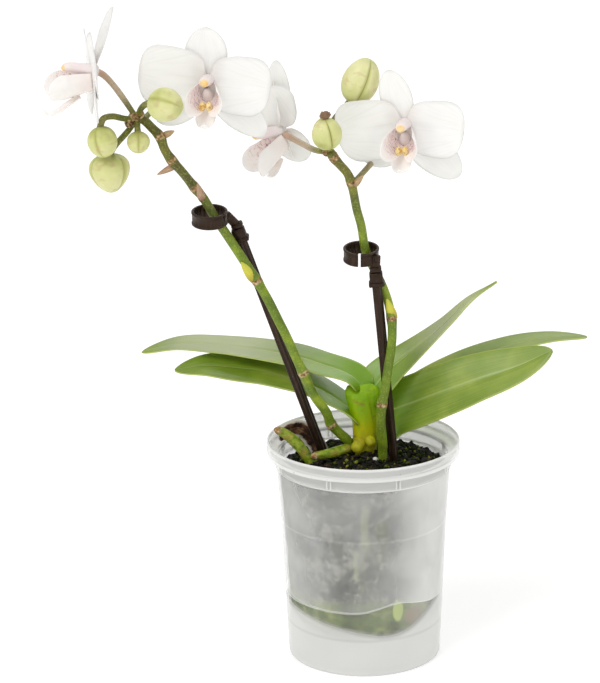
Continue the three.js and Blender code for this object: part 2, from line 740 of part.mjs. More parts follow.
function spikeSolid(name, grow = 0) {
  const { line, radius, joints, stalks, bracts, knobs } = SPIKES[name];
  const curve = curveOf(line);
  const length = curve.getLength();
  const jointAt = joints.map((k) => vec(line[k]));
  const radiusAt = (t) => {
    const here = curve.getPointAt(t);
    const near = Math.min(...jointAt.map((p) => p.distanceTo(here)));
    return mix(radius[0], radius[1], t) + 0.45 * Math.exp(-((near / 3.2) ** 2));
  };
  const bodies = [sweep(line, 6, Math.round(length / 6.5), radiusAt, grow)];
  for (const stalk of Object.values(stalks)) {
    const stalkRadius = (t) => 1.3 + 0.25 * t;
    bodies.push(sweep(stalk, 5, Math.round(1.3 * stalk.length), stalkRadius, grow));
  }
  for (const { from, to, width, lift } of bracts) {
    bodies.push(bractSolid(from, to, width, lift, grow));
  }
  for (const [x, y, z, r] of knobs) {
    bodies.push(ellipsoid([r, r, r], [x, y, z], grow));
  }
  return union(bodies);
}

// A dry scale at a joint of the stem, which points along the stem and stands off at its tip.
function bractSolid(from, to, width, lift, grow) {
  const [a, b] = [vec(from), vec(to)];
  const middle = a.clone().lerp(b, 0.5).add(new THREE.Vector3(0, -lift, 0));
  return blade({
    line: [a, middle, b],
    form: { half: width / 2, root: 0.8, widest: 0.25 },
    faceAt: () => new THREE.Vector3(0, -1, 0.2),
    cup: -0.4,
    thickness: 0.9,
    rows: 4,
    columns: 2,
    grow,
  });
}

// A closed bud: three sepals meet in seams from base to tip.
function budSolid(name) {
  const { base, tip, radius, turn, skew = 0.12 } = BUDS[name];
  const [a, b] = [vec(base), vec(tip)];
  const line = [0, 0.33, 0.67, 1].map((t) => a.clone().lerp(b, t).toArray());
  const radiusAt = (t, angle) => {
    const outline = Math.sqrt(Math.max(1 - (2 * t - 1) ** 2, 0.03)) * (1.04 - skew * (t - 0.45));
    const seam = 0.05 * Math.abs(Math.cos(1.5 * (angle + radians(turn)))) ** 0.5;
    return radius * outline * (0.95 + seam);
  };
  return sweep(line, 9, 7, radiusAt);
}

// ---------------------------------------------------------------- flowers

function flowerMatrix(name) {
  const { centre, facing } = FLOWERS[name];
  const front = vec(facing).normalize();
  const right = new THREE.Vector3(0, 0, 1).cross(front).normalize();
  const up = front.clone().cross(right);
  return new THREE.Matrix4().makeBasis(right, up, front).setPosition(vec(centre));
}

// The centre line of a tepal, in the flower's own frame: x to its right, y up, z to its front.
function tepalLine({ angle, length, lift, curl, offset }) {
  const steps = 5;
  const out = new THREE.Vector3(Math.cos(radians(angle)), Math.sin(radians(angle)), 0);
  const point = out.clone().multiplyScalar(0.8).add(new THREE.Vector3(0, 0, offset));
  const line = [point.clone()];
  for (let i = 0; i < steps; i += 1) {
    const tilt = radians(lift + (curl * (i + 0.5)) / steps);
    point.addScaledVector(out, (Math.cos(tilt) * length) / steps);
    point.z += (Math.sin(tilt) * length) / steps;
    line.push(point.clone());
  }
  return line;
}

function tepalSolid(tepal, grow) {
  const broad = tepal.width > 22;
  return blade({
    line: tepalLine(tepal),
    form: { ...tepal, half: tepal.width / 2 },
    faceAt: () => vec(tepal.face ?? [0, 0, 1]),
    cup: tepal.cup,
    thickness: PETAL_THICKNESS,
    rows: 5,
    columns: broad ? 4 : 2,
    grow,
  });
}

// Sepals, petals and column of one flower, which grow as one piece.
function flowerSolid(name, grow = 0) {
  const own = FLOWERS[name].tepals;
  const tepals = Object.keys(TEPALS).map((key) => tepalSolid({ ...TEPALS[key], ...own[key] }, grow));
  const columnRadius = (t) => {
    const tip = Math.sqrt(Math.max(1 - t ** 10, 0.12));
    return mix(COLUMN.radius[0], COLUMN.radius[1], t) * tip;
  };
  const column = sweep(COLUMN.line, 6, 4, columnRadius, grow);
  const hub = ellipsoid(HUB.size, HUB.at, grow);
  return union([...tepals, column, hub]).transform(flowerMatrix(name).elements);
}

// The lip's two side lobes, which stand up beside the column and join below it in one open cup.
function lipCup() {
  const { centre, halfWidth, halfHeight, turn, front, lobe, rows, columns } = LIP.cup;
  const root = 1.2;
  const grid = [];
  for (let i = 0; i <= rows; i += 1) {
    const row = [];
    for (let j = 0; j <= columns; j += 1) {
      const share = (2 * j) / columns - 1;
      const angle = radians(turn * share);
      const off = (Math.abs(share) - lobe[0]) / lobe[1];
      const edge = mix(front[0], front[1], Math.sqrt(Math.max(1 - off ** 2, 0)));
      const z = mix(root, edge, i / rows);
      const open = (z / front[1]) ** 0.75;
      const x = mix(halfWidth[0], halfWidth[1], open) * Math.sin(angle);
      const y = centre - mix(halfHeight[0], halfHeight[1], open) * Math.cos(angle);
      row.push(new THREE.Vector3(x, y, z));
    }
    grid.push(row);
  }
  return sheet(grid, PETAL_THICKNESS);
}

function lipSolid(name) {
  const { tongue, foot, callus } = LIP;
  const root = vec(tongue.line[0]);
  const share = FLOWERS[name].tongue ?? 1;
  const front = blade({
    line: tongue.line.map((p) => root.clone().lerp(vec(p), share)),
    form: { half: tongue.halfWidth, root: 0.7, widest: 0.4, tip: 1.5 },
    faceAt: () => vec(tongue.face),
    cup: 0.25,
    thickness: PETAL_THICKNESS,
    rows: 5,
    columns: 2,
  });
  const pair = [-1, 1].map((side) => ellipsoid(callus.size, [side * callus.at[0], callus.at[1], callus.at[2]]));
  const droop = new THREE.Matrix4().makeRotationX(radians(FLOWERS[name].droop ?? 0));
  const place = flowerMatrix(name).multiply(droop);
  return union([lipCup(), front, ellipsoid(foot.size, foot.at), ...pair]).transform(place.elements);
}

// ---------------------------------------------------------------- stakes and clips

// The turn that stands +Z along the way from one point to another.
function axisTurn(from, to) {
  const along = to.clone().sub(from).normalize();
  return new THREE.Quaternion().setFromUnitVectors(new THREE.Vector3(0, 0, 1), along);
}

// A ridged plastic stake with a pointed foot and a block at its head that carries the clip.
function stakeSolid(name, grow = 0) {
  const { radius, ridge, pointLength, blockSize, collarSize } = STAKE;
  const [a, b] = [vec(STAKES[name].foot), vec(STAKES[name].head)];
  const length = a.distanceTo(b);
  const radiusAt = (t, angle) => {
    const point = Math.min((t * length) / pointLength + 0.2, 1);
    return (radius + ridge * Math.cos(4 * angle)) * point;
  };
  const line = [0, 0.07, 0.5, 1].map((t) => a.clone().lerp(b, t).toArray());
  const turn = axisTurn(a, b);
  const belowHead = (depth) => b.clone().lerp(a, depth / length);
  const wider = (size) => size.map((side) => side + 2 * grow);
  const block = boxSolid(wider(blockSize), belowHead(blockSize[2] / 2), turn);
  const collar = boxSolid(wider(collarSize), belowHead(blockSize[2]), turn);
  return union([sweep(line, 12, 6, radiusAt, grow), block, collar]);
}

// A split ring round the stem, with a neck that plugs on the head of its stake.
function clipSolid(name) {
  const { outer, inner, height, lean, slit, slitTurn, neckWidth, neckThickness, sectors } = CLIP;
  const middle = vec(CLIPS[name].centre);
  const { foot, head } = STAKES[CLIPS[name].stake];
  const tilt = new THREE.Quaternion().setFromAxisAngle(new THREE.Vector3(1, 0, 0), radians(lean));
  const place = new THREE.Matrix4().compose(middle, tilt, new THREE.Vector3(1, 1, 1));
  const tube = (radius, long) => solid(
    new THREE.CylinderGeometry(radius, radius, long, sectors).rotateX(Math.PI / 2).applyMatrix4(place));
  const outward = vec(head).sub(middle).setZ(0).normalize();
  const start = middle.clone().addScaledVector(outward, inner + 0.5);
  const end = vec(head).setZ(head[2] + CLIP.neckRise);
  const neckSize = [neckWidth, neckThickness, start.distanceTo(end) + 2];
  const neck = boxSolid(neckSize, start.clone().lerp(end, 0.5), axisTurn(start, end));
  const cap = boxSolid(CLIP.capSize, end, axisTurn(vec(foot), vec(head)));
  const slitAngle = Math.atan2(outward.y, outward.x) - radians(slitTurn);
  const slitWay = new THREE.Vector3(Math.cos(slitAngle), Math.sin(slitAngle), 0);
  const slitAt = middle.clone().addScaledVector(slitWay, outer);
  const upright = new THREE.Quaternion().setFromAxisAngle(new THREE.Vector3(0, 0, 1), slitAngle);
  const gap = boxSolid([6, slit, height + 6], slitAt, upright);
  return cut(union([tube(outer, height), neck, cap]), [tube(inner, height + 8), gap]);
}

// ---------------------------------------------------------------- the whole plant

const pieces = new Map();

function add(name, finish, body) {
  pieces.set(name, { finish, body: largest(body) });
}

const leafNames = Object.keys(LEAVES);
const spikeNames = Object.keys(SPIKES);
const rootNames = Object.keys(AERIAL_ROOTS);
const stakeNames = Object.keys(STAKES);
const widened = (make, names) => names.map((name) => make(name, GAP));
const crownSpace = crownSolid(GAP);
const leafSpaces = widened(leafSolid, leafNames);
const spikeSpaces = widened(spikeSolid, spikeNames);
const rootSpaces = widened(aerialRoot, rootNames);
const stakeSpaces = widened(stakeSolid, stakeNames);

add("pot", "pot", potSolid());
const stems = [crownSpace, ...leafSpaces, ...spikeSpaces, ...rootSpaces];
const inTheMix = [...stems, ...stakeSpaces, huskSolid(GAP)];
add("growing_mix", "mix", cut(mixSolid(), inTheMix));
add("crown", "crown", crownSolid());
leafNames.forEach((name, k) => {
  add(name, "leaf", cut(leafSolid(name), [crownSpace, ...leafSpaces.slice(0, k)]));
});
rootNames.forEach((name, k) => {
  const others = [crownSpace, ...spikeSpaces, ...leafSpaces, ...rootSpaces.slice(0, k)];
  add(name, "root", cut(aerialRoot(name), others));
});
add("dry_husk", "husk", cut(huskSolid(), [...rootSpaces, ...stakeSpaces]));
spikeNames.forEach((name) => add(name, "spike", cut(spikeSolid(name), [crownSpace, ...leafSpaces])));
Object.keys(BUDS).forEach((name) => add(name, "bud", cut(budSolid(name), spikeSpaces)));
Object.keys(FLOWERS).forEach((name) => {
  add(`${name}_petals`, "petal", cut(flowerSolid(name), spikeSpaces));
  add(`${name}_lip`, "lip", cut(lipSolid(name), [flowerSolid(name, GAP)]));
});
stakeNames.forEach((name) => add(name, "stake", stakeSolid(name)));
Object.keys(CLIPS).forEach((name) => add(name, "clip", cut(clipSolid(name), stakeSpaces)));

const orchid = new THREE.Group();
for (const [name, { finish, body }] of pieces) {
  const [color, roughness] = COLOURS[finish];
  const material = new THREE.MeshStandardMaterial({ color, roughness, metalness: 0 });
  const mesh = new THREE.Mesh(geometryOf(body), material);
  mesh.name = name;
  mesh.position.set(...STAND);
  orchid.add(mesh);
}

export default orchid;
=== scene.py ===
"""A moth orchid with two flower spikes in a frosted, see-through plastic pot.

The tables are in millimetres from the centre of the pot's foot, +Z up; -Y is the front.
"""

import math
import random

import bpy
import numpy as np
from mathutils import Matrix, Vector, noise


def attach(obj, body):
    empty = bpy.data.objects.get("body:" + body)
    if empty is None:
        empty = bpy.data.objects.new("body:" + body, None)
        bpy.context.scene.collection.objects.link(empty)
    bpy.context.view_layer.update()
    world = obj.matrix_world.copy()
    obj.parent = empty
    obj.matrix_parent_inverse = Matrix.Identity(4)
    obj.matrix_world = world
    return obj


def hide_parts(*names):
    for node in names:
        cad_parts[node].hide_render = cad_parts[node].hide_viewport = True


bl_info = {
    "name": "Potted orchid",
    "version": (1, 0, 0),
    "blender": (4, 5, 0),
    "location": "3D View > Sidebar > Orchid",
    "description": "Builds a moth orchid in a frosted pot, piece by piece, round its solid frame",
    "category": "Object",
}

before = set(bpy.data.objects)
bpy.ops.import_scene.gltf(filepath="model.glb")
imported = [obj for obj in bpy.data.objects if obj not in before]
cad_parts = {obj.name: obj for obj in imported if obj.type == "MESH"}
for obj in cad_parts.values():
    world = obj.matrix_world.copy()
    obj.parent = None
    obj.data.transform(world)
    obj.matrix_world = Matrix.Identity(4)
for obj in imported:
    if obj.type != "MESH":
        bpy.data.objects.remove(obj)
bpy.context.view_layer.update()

MM = 0.001
BODY = "root"

# Where the pot's axis stands, from the origin: that lies under the middle of the whole plant's box.
STAND = (17.636, -0.536, 0.0)

# ---------------------------------------------------------------- driving dimensions

POT_OUTSIDE = [
    (35.0, 0.0), (35.5, 0.25), (35.7, 0.9), (36.1, 9), (36.6, 20), (37.1, 32), (37.6, 44), (38.05, 54),
    (38.6, 66.3), (38.55, 67.0), (38.75, 67.7), (39.3, 76), (40.1, 88), (40.45, 92.3), (40.95, 92.7),
    (41.0, 93.2), (41.0, 97.9), (41.3, 98.15), (44.3, 98.2), (44.75, 98.5), (44.9, 99.2), (44.98, 101.5),
    (45.0, 103.6), (44.85, 104.4), (44.5, 104.75),
]
POT_INSIDE = [
    (44.2, 104.7), (43.95, 104.4), (43.8, 103.2), (43.6, 100.4), (43.3, 99.7), (42.4, 99.35), (40.2, 99.2),
    (39.6, 98.9), (39.4, 98.2), (39.35, 92.4), (38.5, 76), (36.9, 54), (36.2, 40), (34.7, 3.4), (34.3, 2.6),
    (33.4, 2.3), (32.6, 2.8), (28.4, 12.6), (28.0, 13.6), (27.2, 14.5), (26.4, 14.6), (4.2, 14.6),
    (4.0, 14.4), (4.0, 13.6), (4.2, 13.5), (26.6, 13.5), (27.2, 12.9), (31.7, 1.5), (32.6, 1.1),
    (33.5, 1.0), (33.7, 0.3), (34.2, 0.0),
]
POT_SEGMENTS = 144
COLLAR_RIBS = {"pairs": 8, "offset": 22.5, "spread": 1.35, "width": 0.75, "height": 4.9, "proud": 0.5,
               "sunk": 0.3, "radius": 41, "middle": 95.5, "bevel": 0.12}

# What shows on the pot's wall: a wavy edge of the haze with a crest at the right, a clear window below it
# whose own lower edge climbs to both sides, and lines and bands at set heights.
HAZE_EDGE = {"height": 31.0, "crest": 4.2, "at": 16.0, "reach": 11.0, "wander": 1.4}
WINDOW_EDGE = {"height": 20.4, "left": 8.0, "slope": 0.095, "right": 12.0, "curve": 0.006}
# On the groove line lies a painted shadow under the lip; the fold line and rim band carry painted highlights.
WALL_LINES = {"ledge": 67.0, "seam": 92.5, "groove": 97.4, "fold": 99.4, "ring": 18.0}
WALL_BANDS = {"collar": (91.6, 92.6), "rim": (103.2, 104.3), "roll": (98.0, 99.0), "foot": (0.2, 1.4)}

MIX = {"level": 91.6, "mound": 4.6, "mound_radius": 19, "wall_gap": 1.5, "floor": 15.0}
# The plug's side: how far it stays inside the wall, how rough it is and how closely its lumps follow each
# other round and up it, its rows between two heights, and those of its rounded foot, each a share of the
# wall's radius and a height.
PLUG = {"gap": 0.5, "rough": 0.55, "lumps": (5.5, 0.16), "side": (89.5, 21.5), "rows": 56, "rim": 88,
        "tone": 0.35, "sectors": 144, "rings": 44}
PLUG_FOOT = [(0.97, 20.6), (0.955, 19.4), (0.92, 18.3), (0.88, 17.3), (0.83, 16.4), (0.76, 15.7),
             (0.68, 15.2)]
# White grains on the mix: x, y and size.
GRIT = [(5.4, -3.4, 1.7), (7.0, -2.2, 1.1), (-12, -33, 0.9), (-9.6, -34, 0.7), (14, -24, 0.6)]
# Roots that show through the wall: middle, fading half width, and heights where they begin and end.
WALL_ROOTS = [
    {"x": 0.4, "half": (0.6, 3.0), "foot": (61.0, 67.0), "top": (82.0, 90.0)},
    {"x": -3.7, "half": (0.5, 1.7), "foot": (46.0, 50.0), "top": (60.0, 66.0)},
]
# A pinkish chip and a pale root tip that lie against the window.
WALL_SPOTS = [
    {"at": (23.0, 27.0), "size": (5.0, 5.0), "edge": (0.2, 1.3), "share": 0.6, "colour": "94705f"},
    {"at": (15.6, 31.5), "size": (2.6, 6.0), "edge": (0.5, 1.2), "share": 0.8, "colour": "bccb74"},
]
PLANT = (0.0, 8.0)

# Each leaf runs along its line from the crown. Half is its greatest half width, reached at widest; root is
# the share of it at the crown, and a lower tip ends it sharper. Faces are the ways its upper side looks at
# root and tip, fold lifts its margins, rib sets the midrib's foot to one side, and a tint of 0.7 gives it a
# painted greyish sheen along its middle.
LEAVES = {
    "leaf_left_upper": {
        "line": [(-0.4, 9, 125.6), (-3.1, 11, 129.4), (-8.7, 14, 132.4), (-18.6, 19, 134.6),
                 (-30.9, 26, 136.5), (-49.5, 32, 138.2), (-68.6, 36, 139.4), (-87.8, 39, 139.4),
                 (-105.3, 41, 134.8)],
        "half": 11, "root": 0.52, "widest": 0.45, "fold": 0.09, "tint": 0.7,
        "faces": ((0.35, -0.45, 0.85), (0.05, -0.16, 1)),
    },
    "leaf_left_lower": {
        "line": [(-1.4, 8, 109.3), (-6, 10, 115), (-14.9, 14.5, 120.8), (-24.3, 18.5, 124.7),
                 (-35.2, 22, 127.6), (-47.4, 24, 130.3), (-60.2, 25, 131.6), (-73.9, 25.6, 132.5),
                 (-88.6, 26, 130.4)],
        "half": 10.3, "root": 0.6, "widest": 0.62, "tip": 1.9, "fold": 0.09,
        "faces": ((0.5, -0.3, 0.85), (0.02, -0.42, 1)),
    },
    "leaf_upright": {
        "line": [(2.4, 10, 119.4), (7.1, 12, 128.1), (13.2, 13.5, 134.4), (20.3, 15, 139.8),
                 (28.7, 16.5, 146.3), (39, 18.5, 154.9), (50.7, 20.5, 166.1), (62.8, 22, 173.8)],
        "half": 9.2, "root": 0.85, "widest": 0.16, "tip": 1.05, "fold": 0.14, "tint": 0.7,
        "faces": ((-0.35, -0.9, 0.35), (-0.72, -0.42, 0.6)),
    },
    "leaf_right_back": {
        "line": [(3.3, 12, 109.9), (13.7, 17, 117.1), (25.5, 21, 123.1), (39.3, 25, 129.4),
                 (55.4, 29, 135.5), (74.4, 33, 140.5), (90.1, 35, 142.5), (106.2, 36, 142.4)],
        "half": 10.3, "root": 0.5, "fold": 0.1,
        "faces": ((-0.3, -0.4, 0.8), (-0.05, -0.08, 1)),
    },
    "leaf_right_front": {
        "line": [(4.7, 11.3, 104.4), (13.1, 10.2, 114.3), (25.2, 5.8, 120.9), (38.1, 1, 127.5),
                 (54, -4, 135), (72, -8.5, 142.5), (86.5, -12, 150.4)],
        "half": 13.4, "root": 0.88, "widest": 0.5, "fold": 0.1, "rib": 0.3,
        "faces": ((-0.3, -0.9, 0.4), (-0.3, -0.68, 0.68)),
    },
}
LEAF_FORM = {"widest": 0.6, "tip": 1.75}
LEAF_RELIEF = {"groove": 0.35, "groove_width": 0.09, "wave": 0.35, "edge": 0.35}

# Each stem runs along its line, with a joint at the numbered points of it, one stalk to each flower and bud,
# papery or fresh scales (bracts), and small knobs (x, y, z, radius) where the stalks part.
SPIKES = {
    "spike_left": {
        "radius": (2.3, 2.1),
        "line": [(-5.2, 8, 97.9), (-7.5, 5, 102.4), (-11.7, 2, 107.4), (-14.9, 0, 112), (-17.1, -3, 118.9),
                 (-22.1, -5, 126.9), (-27.4, -7, 139.1), (-34.5, -8, 156.3), (-38.5, -8.5, 165),
                 (-42.9, -9, 174.7), (-47.7, -9.5, 183.8), (-53, -10, 192.5), (-58.6, -10.5, 202),
                 (-63, -11, 209.2), (-67.3, -11.5, 216.3), (-71.2, -12, 223.4), (-74.7, -12, 228),
                 (-80.4, -11.5, 235.3), (-84.8, -11, 240.3), (-88, -10.5, 245.5), (-89.9, -10, 251.1),
                 (-93.5, -9, 255), (-97.4, -8.5, 258.6), (-101.5, -8, 259.4)],
        "joints": [3, 6, 10, 16, 18, 20],
        "stalks": {
            "flower_1": [(-100.5, -8, 259.5), (-106.5, -8, 269), (-110.8, -8, 275), (-114.7, -8, 279.1),
                         (-118.8, -8, 281.2)],
            "flower_2": [(-97, -8.5, 258.6), (-95, -2, 260), (-91.3, 2.5, 262.5), (-82.2, 4, 269.5),
                         (-73.8, 0.5, 275.4), (-69.6, -7, 277.6)],
            "bud_1": [(-99, -9, 260), (-98.4, -13, 263.5), (-95.6, -19.5, 267.6), (-91.3, -26.3, 270.4)],
            "bud_2": [(-101, -8.5, 259), (-105.5, -10.5, 259.6), (-110.8, -13, 261.2), (-114.6, -15.4, 260.6),
                      (-116.2, -16.4, 256.4)],
            "bud_3": [(-100.5, -8, 258.5), (-104.3, -7.6, 253.4), (-110.5, -6.6, 246.4), (-114.1, -5.6, 241)],
            "bud_4": [(-100, -9, 258.5), (-99.8, -11.5, 256), (-99.4, -14.4, 253.4)],
        },
        "bracts": [
            {"ends": ((-48.3, -11.3, 184), (-54.6, -13, 193.6)), "width": 4.6, "lift": 0.4, "fresh": 1.0},
            {"ends": ((-71.2, -13.6, 222), (-73.2, -16.6, 230.6)), "width": 3.6, "lift": 0.5, "fresh": 0.0},
            {"ends": ((-83, -11.6, 238.4), (-91.4, -12.8, 234.4)), "width": 3, "lift": 0.2, "fresh": 0.0},
            {"ends": ((-88.4, -10.4, 251.6), (-83.4, -11.4, 254)), "width": 3, "lift": 0.2, "fresh": 0.35},
        ],
        "knobs": [(-101.6, -8.4, 259.6, 2.6), (-98.6, -10.2, 261.4, 2.1), (-103.4, -9.8, 257.4, 2.3)],
    },
    "spike_right": {
        "radius": (2.25, 2.0),
        "line": [(6.6, 2, 86), (8.8, -1.4, 93.6), (8.9, -3.6, 101.8), (8.3, -6.4, 111), (8.8, -8.3, 124.4),
                 (10.2, -9.2, 131.4), (11.6, -9.3, 141), (13, -9.2, 150.6), (13.6, -8.4, 157.5),
                 (13.4, -7.4, 164.9), (11.5, -5.4, 173.3), (8, -4, 182.4), (4.7, -3.3, 188.9),
                 (1.6, -4, 196.6), (-0.3, -5, 208.5), (-2.1, -6, 215.8), (-3.4, -7.5, 223.1),
                 (-4.7, -9, 229.5), (-6.4, -10.5, 234), (-9.1, -12, 237.6), (-12.2, -13, 241.5),
                 (-13.9, -13, 244.3)],
        "joints": [4, 9, 17, 20],
        "stalks": {
            "flower_3": [(-13, -13, 243), (-16.4, -11.5, 243.8), (-19.6, -7, 243.4), (-22.8, 1, 242.8),
                         (-29.7, 14, 243.6), (-36.9, 21.4, 246)],
            "flower_4": [(-4.7, -9, 229.5), (-2.6, -4, 229), (0.4, 3, 230.4), (6.5, 9.6, 236),
                         (14, 8.4, 247.5), (20, -1.6, 254.4)],
            "bud_5": [(-13.4, -13, 243.6), (-14.4, -13.8, 246.2)],
            "bud_6": [(-13.2, -12.6, 243.4), (-14.9, -6, 245.4), (-15.6, 1, 249), (-12.2, 6.6, 254.6),
                      (-7.2, 7.6, 260), (-4.2, 6.6, 264)],
        },
        "bracts": [
            {"ends": ((14.4, -8.6, 164.6), (11.2, -8.6, 174.6)), "width": 4.4, "lift": 0.4, "fresh": 1.0},
            {"ends": ((-4, -10.2, 227.6), (0.9, -11.2, 232.9)), "width": 3.2, "lift": 0.2, "fresh": 0.35},
        ],
        "knobs": [(-15.6, -12.2, 243.8, 1.9), (-12.4, -12.4, 242.6, 2)],
    },
}

# Turn sets the seams round a bud, skew puts its belly nearer the base, a higher tone makes it paler, and
# scale is where a dry scrap sits on its end.
BUDS = {
    "bud_1": {"base": (-92.6, -27, 270.2), "tip": (-78.5, -35.4, 269.6), "radius": 7.3, "turn": 75,
              "tone": 0.2},
    "bud_2": {"base": (-116.3, -16.3, 257.4), "tip": (-113.6, -17.6, 243.6), "radius": 6.6, "turn": 20,
              "tone": 0.1},
    "bud_3": {"base": (-114.2, -5.6, 242.6), "tip": (-112.4, -6.6, 224.8), "radius": 9.0, "turn": 100,
              "skew": 0.55, "tone": 0.55},
    "bud_4": {"base": (-99.2, -14.2, 254.6), "tip": (-99.3, -16.6, 245), "radius": 5, "turn": 50,
              "tone": 0.15},
    "bud_5": {"base": (-14.4, -13.8, 246), "tip": (-16.2, -18, 260.4), "radius": 6.6, "turn": 60,
              "tone": 0.1, "scale": (-15.9, -18.2, 261.4)},
    "bud_6": {"base": (-4.4, 6.8, 262.4), "tip": (4.2, 5.2, 282.4), "radius": 8.1, "turn": 55,
              "tone": 0.7},
}
# Crumbs of that dry scrap: x and y from its middle, and size.
SCALE_CRUMBS = [(0, 0, 1.9), (-1.2, -0.3, 1.2), (1.1, 0.2, 1.3), (0.2, -0.2, 1.0)]

# Petals and sepals leave the flower's middle at an angle round it, rise by lift and bend by curl, in degrees.
# Cup lifts their margins, offset sets them before or behind the middle, and a lower tip ends them sharper.
PETAL = {"length": 29.5, "width": 29.5, "widest": 0.6, "root": 0.22, "lift": 2, "curl": -14, "cup": 0.03,
         "offset": 0.5, "tip": 2.6}
SEPAL = {"length": 29, "width": 17, "widest": 0.5, "root": 0.4, "lift": -4, "curl": -4, "cup": 0.1,
         "offset": -1, "tip": 1.85}
TEPAL_THICKNESS = 0.62
TEPALS = {
    "dorsal": {**SEPAL, "angle": 90, "length": 26, "width": 19, "widest": 0.5, "lift": -6, "curl": 6,
               "offset": -0.6},
    "petal_right": {**PETAL, "angle": 4},
    "petal_left": {**PETAL, "angle": 176},
    "sepal_right": {**SEPAL, "angle": -50},
    "sepal_left": {**SEPAL, "angle": -130},
}
# The flowers: what differs from the five tepals above, where one's face looks if not forward, how far the
# lip hangs, in degrees, and the share of its tongue's length that shows.
FLOWERS = {
    "flower_1": {
        "centre": (-119.4, -8, 280.9), "facing": (-0.96, -0.22, -0.08),
        "tepals": {
            "dorsal": {"length": 29, "width": 19, "lift": -27, "curl": 6},
            "petal_left": {"angle": 176, "length": 27, "lift": -6, "curl": 4},
            "petal_right": {"angle": 18, "lift": -2, "curl": 8},
            "sepal_right": {"angle": -58, "length": 24, "lift": 8},
            "sepal_left": {"angle": -122, "length": 24, "lift": 8},
        },
    },
    "flower_2": {
        "centre": (-68.2, -8, 275.9), "facing": (-0.06, -0.98, -0.13),
        "tepals": {
            "dorsal": {"angle": 91, "length": 23.5},
            "petal_left": {"angle": 174, "length": 30.5},
            "petal_right": {"angle": -9, "length": 27.5, "width": 28},
            "sepal_right": {"angle": -48, "length": 36},
            "sepal_left": {"angle": -138, "length": 31},
        },
        "tongue": 0.75,
    },
    "flower_3": {
        "centre": (-37.4, 21, 246.6), "facing": (-0.82, -0.46, -0.32),
        "tepals": {
            "dorsal": {"angle": 84, "length": 33, "width": 11.5, "lift": -16, "face": (0.6, -0.1, 0.7)},
            "petal_left": {"angle": 124, "lift": -12, "length": 25},
            "petal_right": {"angle": 78, "lift": 4, "curl": -8, "length": 24, "width": 22,
                            "face": (0.8, -0.1, 0.55)},
            "sepal_right": {"angle": -88, "lift": -22, "curl": 4, "length": 19, "width": 15,
                            "face": (0.75, -0.1, 0.55)},
            "sepal_left": {"angle": -118, "length": 18, "lift": -8},
        },
        "droop": 15,
        "tongue": 0.6,
    },
    "flower_4": {
        "centre": (19.6, -3, 254.2), "facing": (-0.16, -0.96, -0.18),
        "tepals": {
            "dorsal": {"angle": 106, "length": 25.5, "width": 14.5},
            "petal_left": {"angle": -169, "length": 31.5, "width": 30},
            "petal_right": {"angle": -7, "length": 26, "width": 28},
            "sepal_right": {"angle": -49, "length": 35, "width": 19},
            "sepal_left": {"angle": -131, "length": 28, "width": 20, "lift": -6},
        },
        "tongue": 0.75,
    },
}
HUB = {"at": (0, 0, -0.8), "size": (3.3, 3.3, 2.5)}
COLUMN = {"line": [(0, 0, -1.5), (0, 1.6, 5), (0, 2.9, 10), (0, 2.9, 13.6)], "radius": (3.0, 2.4)}
LIP = {
    "cup": {"centre": -3.6, "half_width": (3.2, 8.3), "half_height": (4.6, 8.2), "turn": 128,
            "back": 1.2, "front": (8.5, 21.5), "lobe": (0.56, 0.5)},
    "tongue": {"line": [(0, -11.2, 6.5), (0, -14.2, 12), (0, -17.2, 18), (0, -17.4, 22), (0, -14.4, 24)],
               "half": 4.5, "root": 0.7, "widest": 0.4, "tip": 1.5, "cup": 0.25, "face": (0, 1, 0.1)},
    "foot": {"at": (0, -6.4, 1.6), "size": (2.4, 3.4, 2.4)},
    "callus": {"at": (1.55, -8.4, 10.6), "size": (1.5, 2.2, 2.2)},
}

STAKES = {
    "stake_left": {"foot": (-14.4, 12.2, 81), "head": (-56.4, -5.8, 207.6)},
    "stake_right": {"foot": (15.4, 1.8, 80.6), "head": (6.2, -9.9, 187.6)},
}
STAKE = {"radius": 1.95, "ridge": 0.35, "point": 9.0, "block": (6, 4.8, 5.6), "collar": (7.2, 5.8, 1.8)}
CLIPS = {
    "clip_left": {"centre": (-68.4, -12.75, 214.6), "stake": "stake_left"},
    "clip_right": {"centre": (-0.3, -5.4, 195), "stake": "stake_right"},
}
CLIP = {"outer": 8.2, "inner": 6.85, "height": 6.2, "lean": 9, "slit": 1.3, "slit_turn": 62,
        "chamfer": 0.2, "flange": 0.8, "step": 0.25, "teeth": 0.3,
        "neck": (3.8, 2.8), "neck_gap": 1.5, "cap": (5.2, 4.4, 2.4), "cap_rise": 1.2,
        "knuckle": (2.2, 4.6, 2.2)}

# Levels of the crown: height, middle (x, y) and half widths across and deep.
CROWN_LEVELS = [
    (84, 0, 8, 4.6, 4.2), (92, 0, 8, 5.8, 5.2), (98, 0.3, 8, 6.1, 5.4), (104, 0.9, 8, 5.8, 5.3),
    (110, 0.9, 8, 6.1, 5.4), (116, 0.4, 8.2, 7.0, 5.6), (121, -0.1, 8.6, 7.9, 5.7), (125, -0.4, 9, 8.2, 5.4),
    (127.2, -0.4, 9, 7.2, 4.6), (128.4, -0.4, 9, 4.4, 2.8),
]
# The crown's top dips toward a turn in degrees: how deep, from which height, and how wide it fades.
CROWN_DIP = {"deep": 2.6, "from": 118, "turn": -100, "fade": (100, 10)}
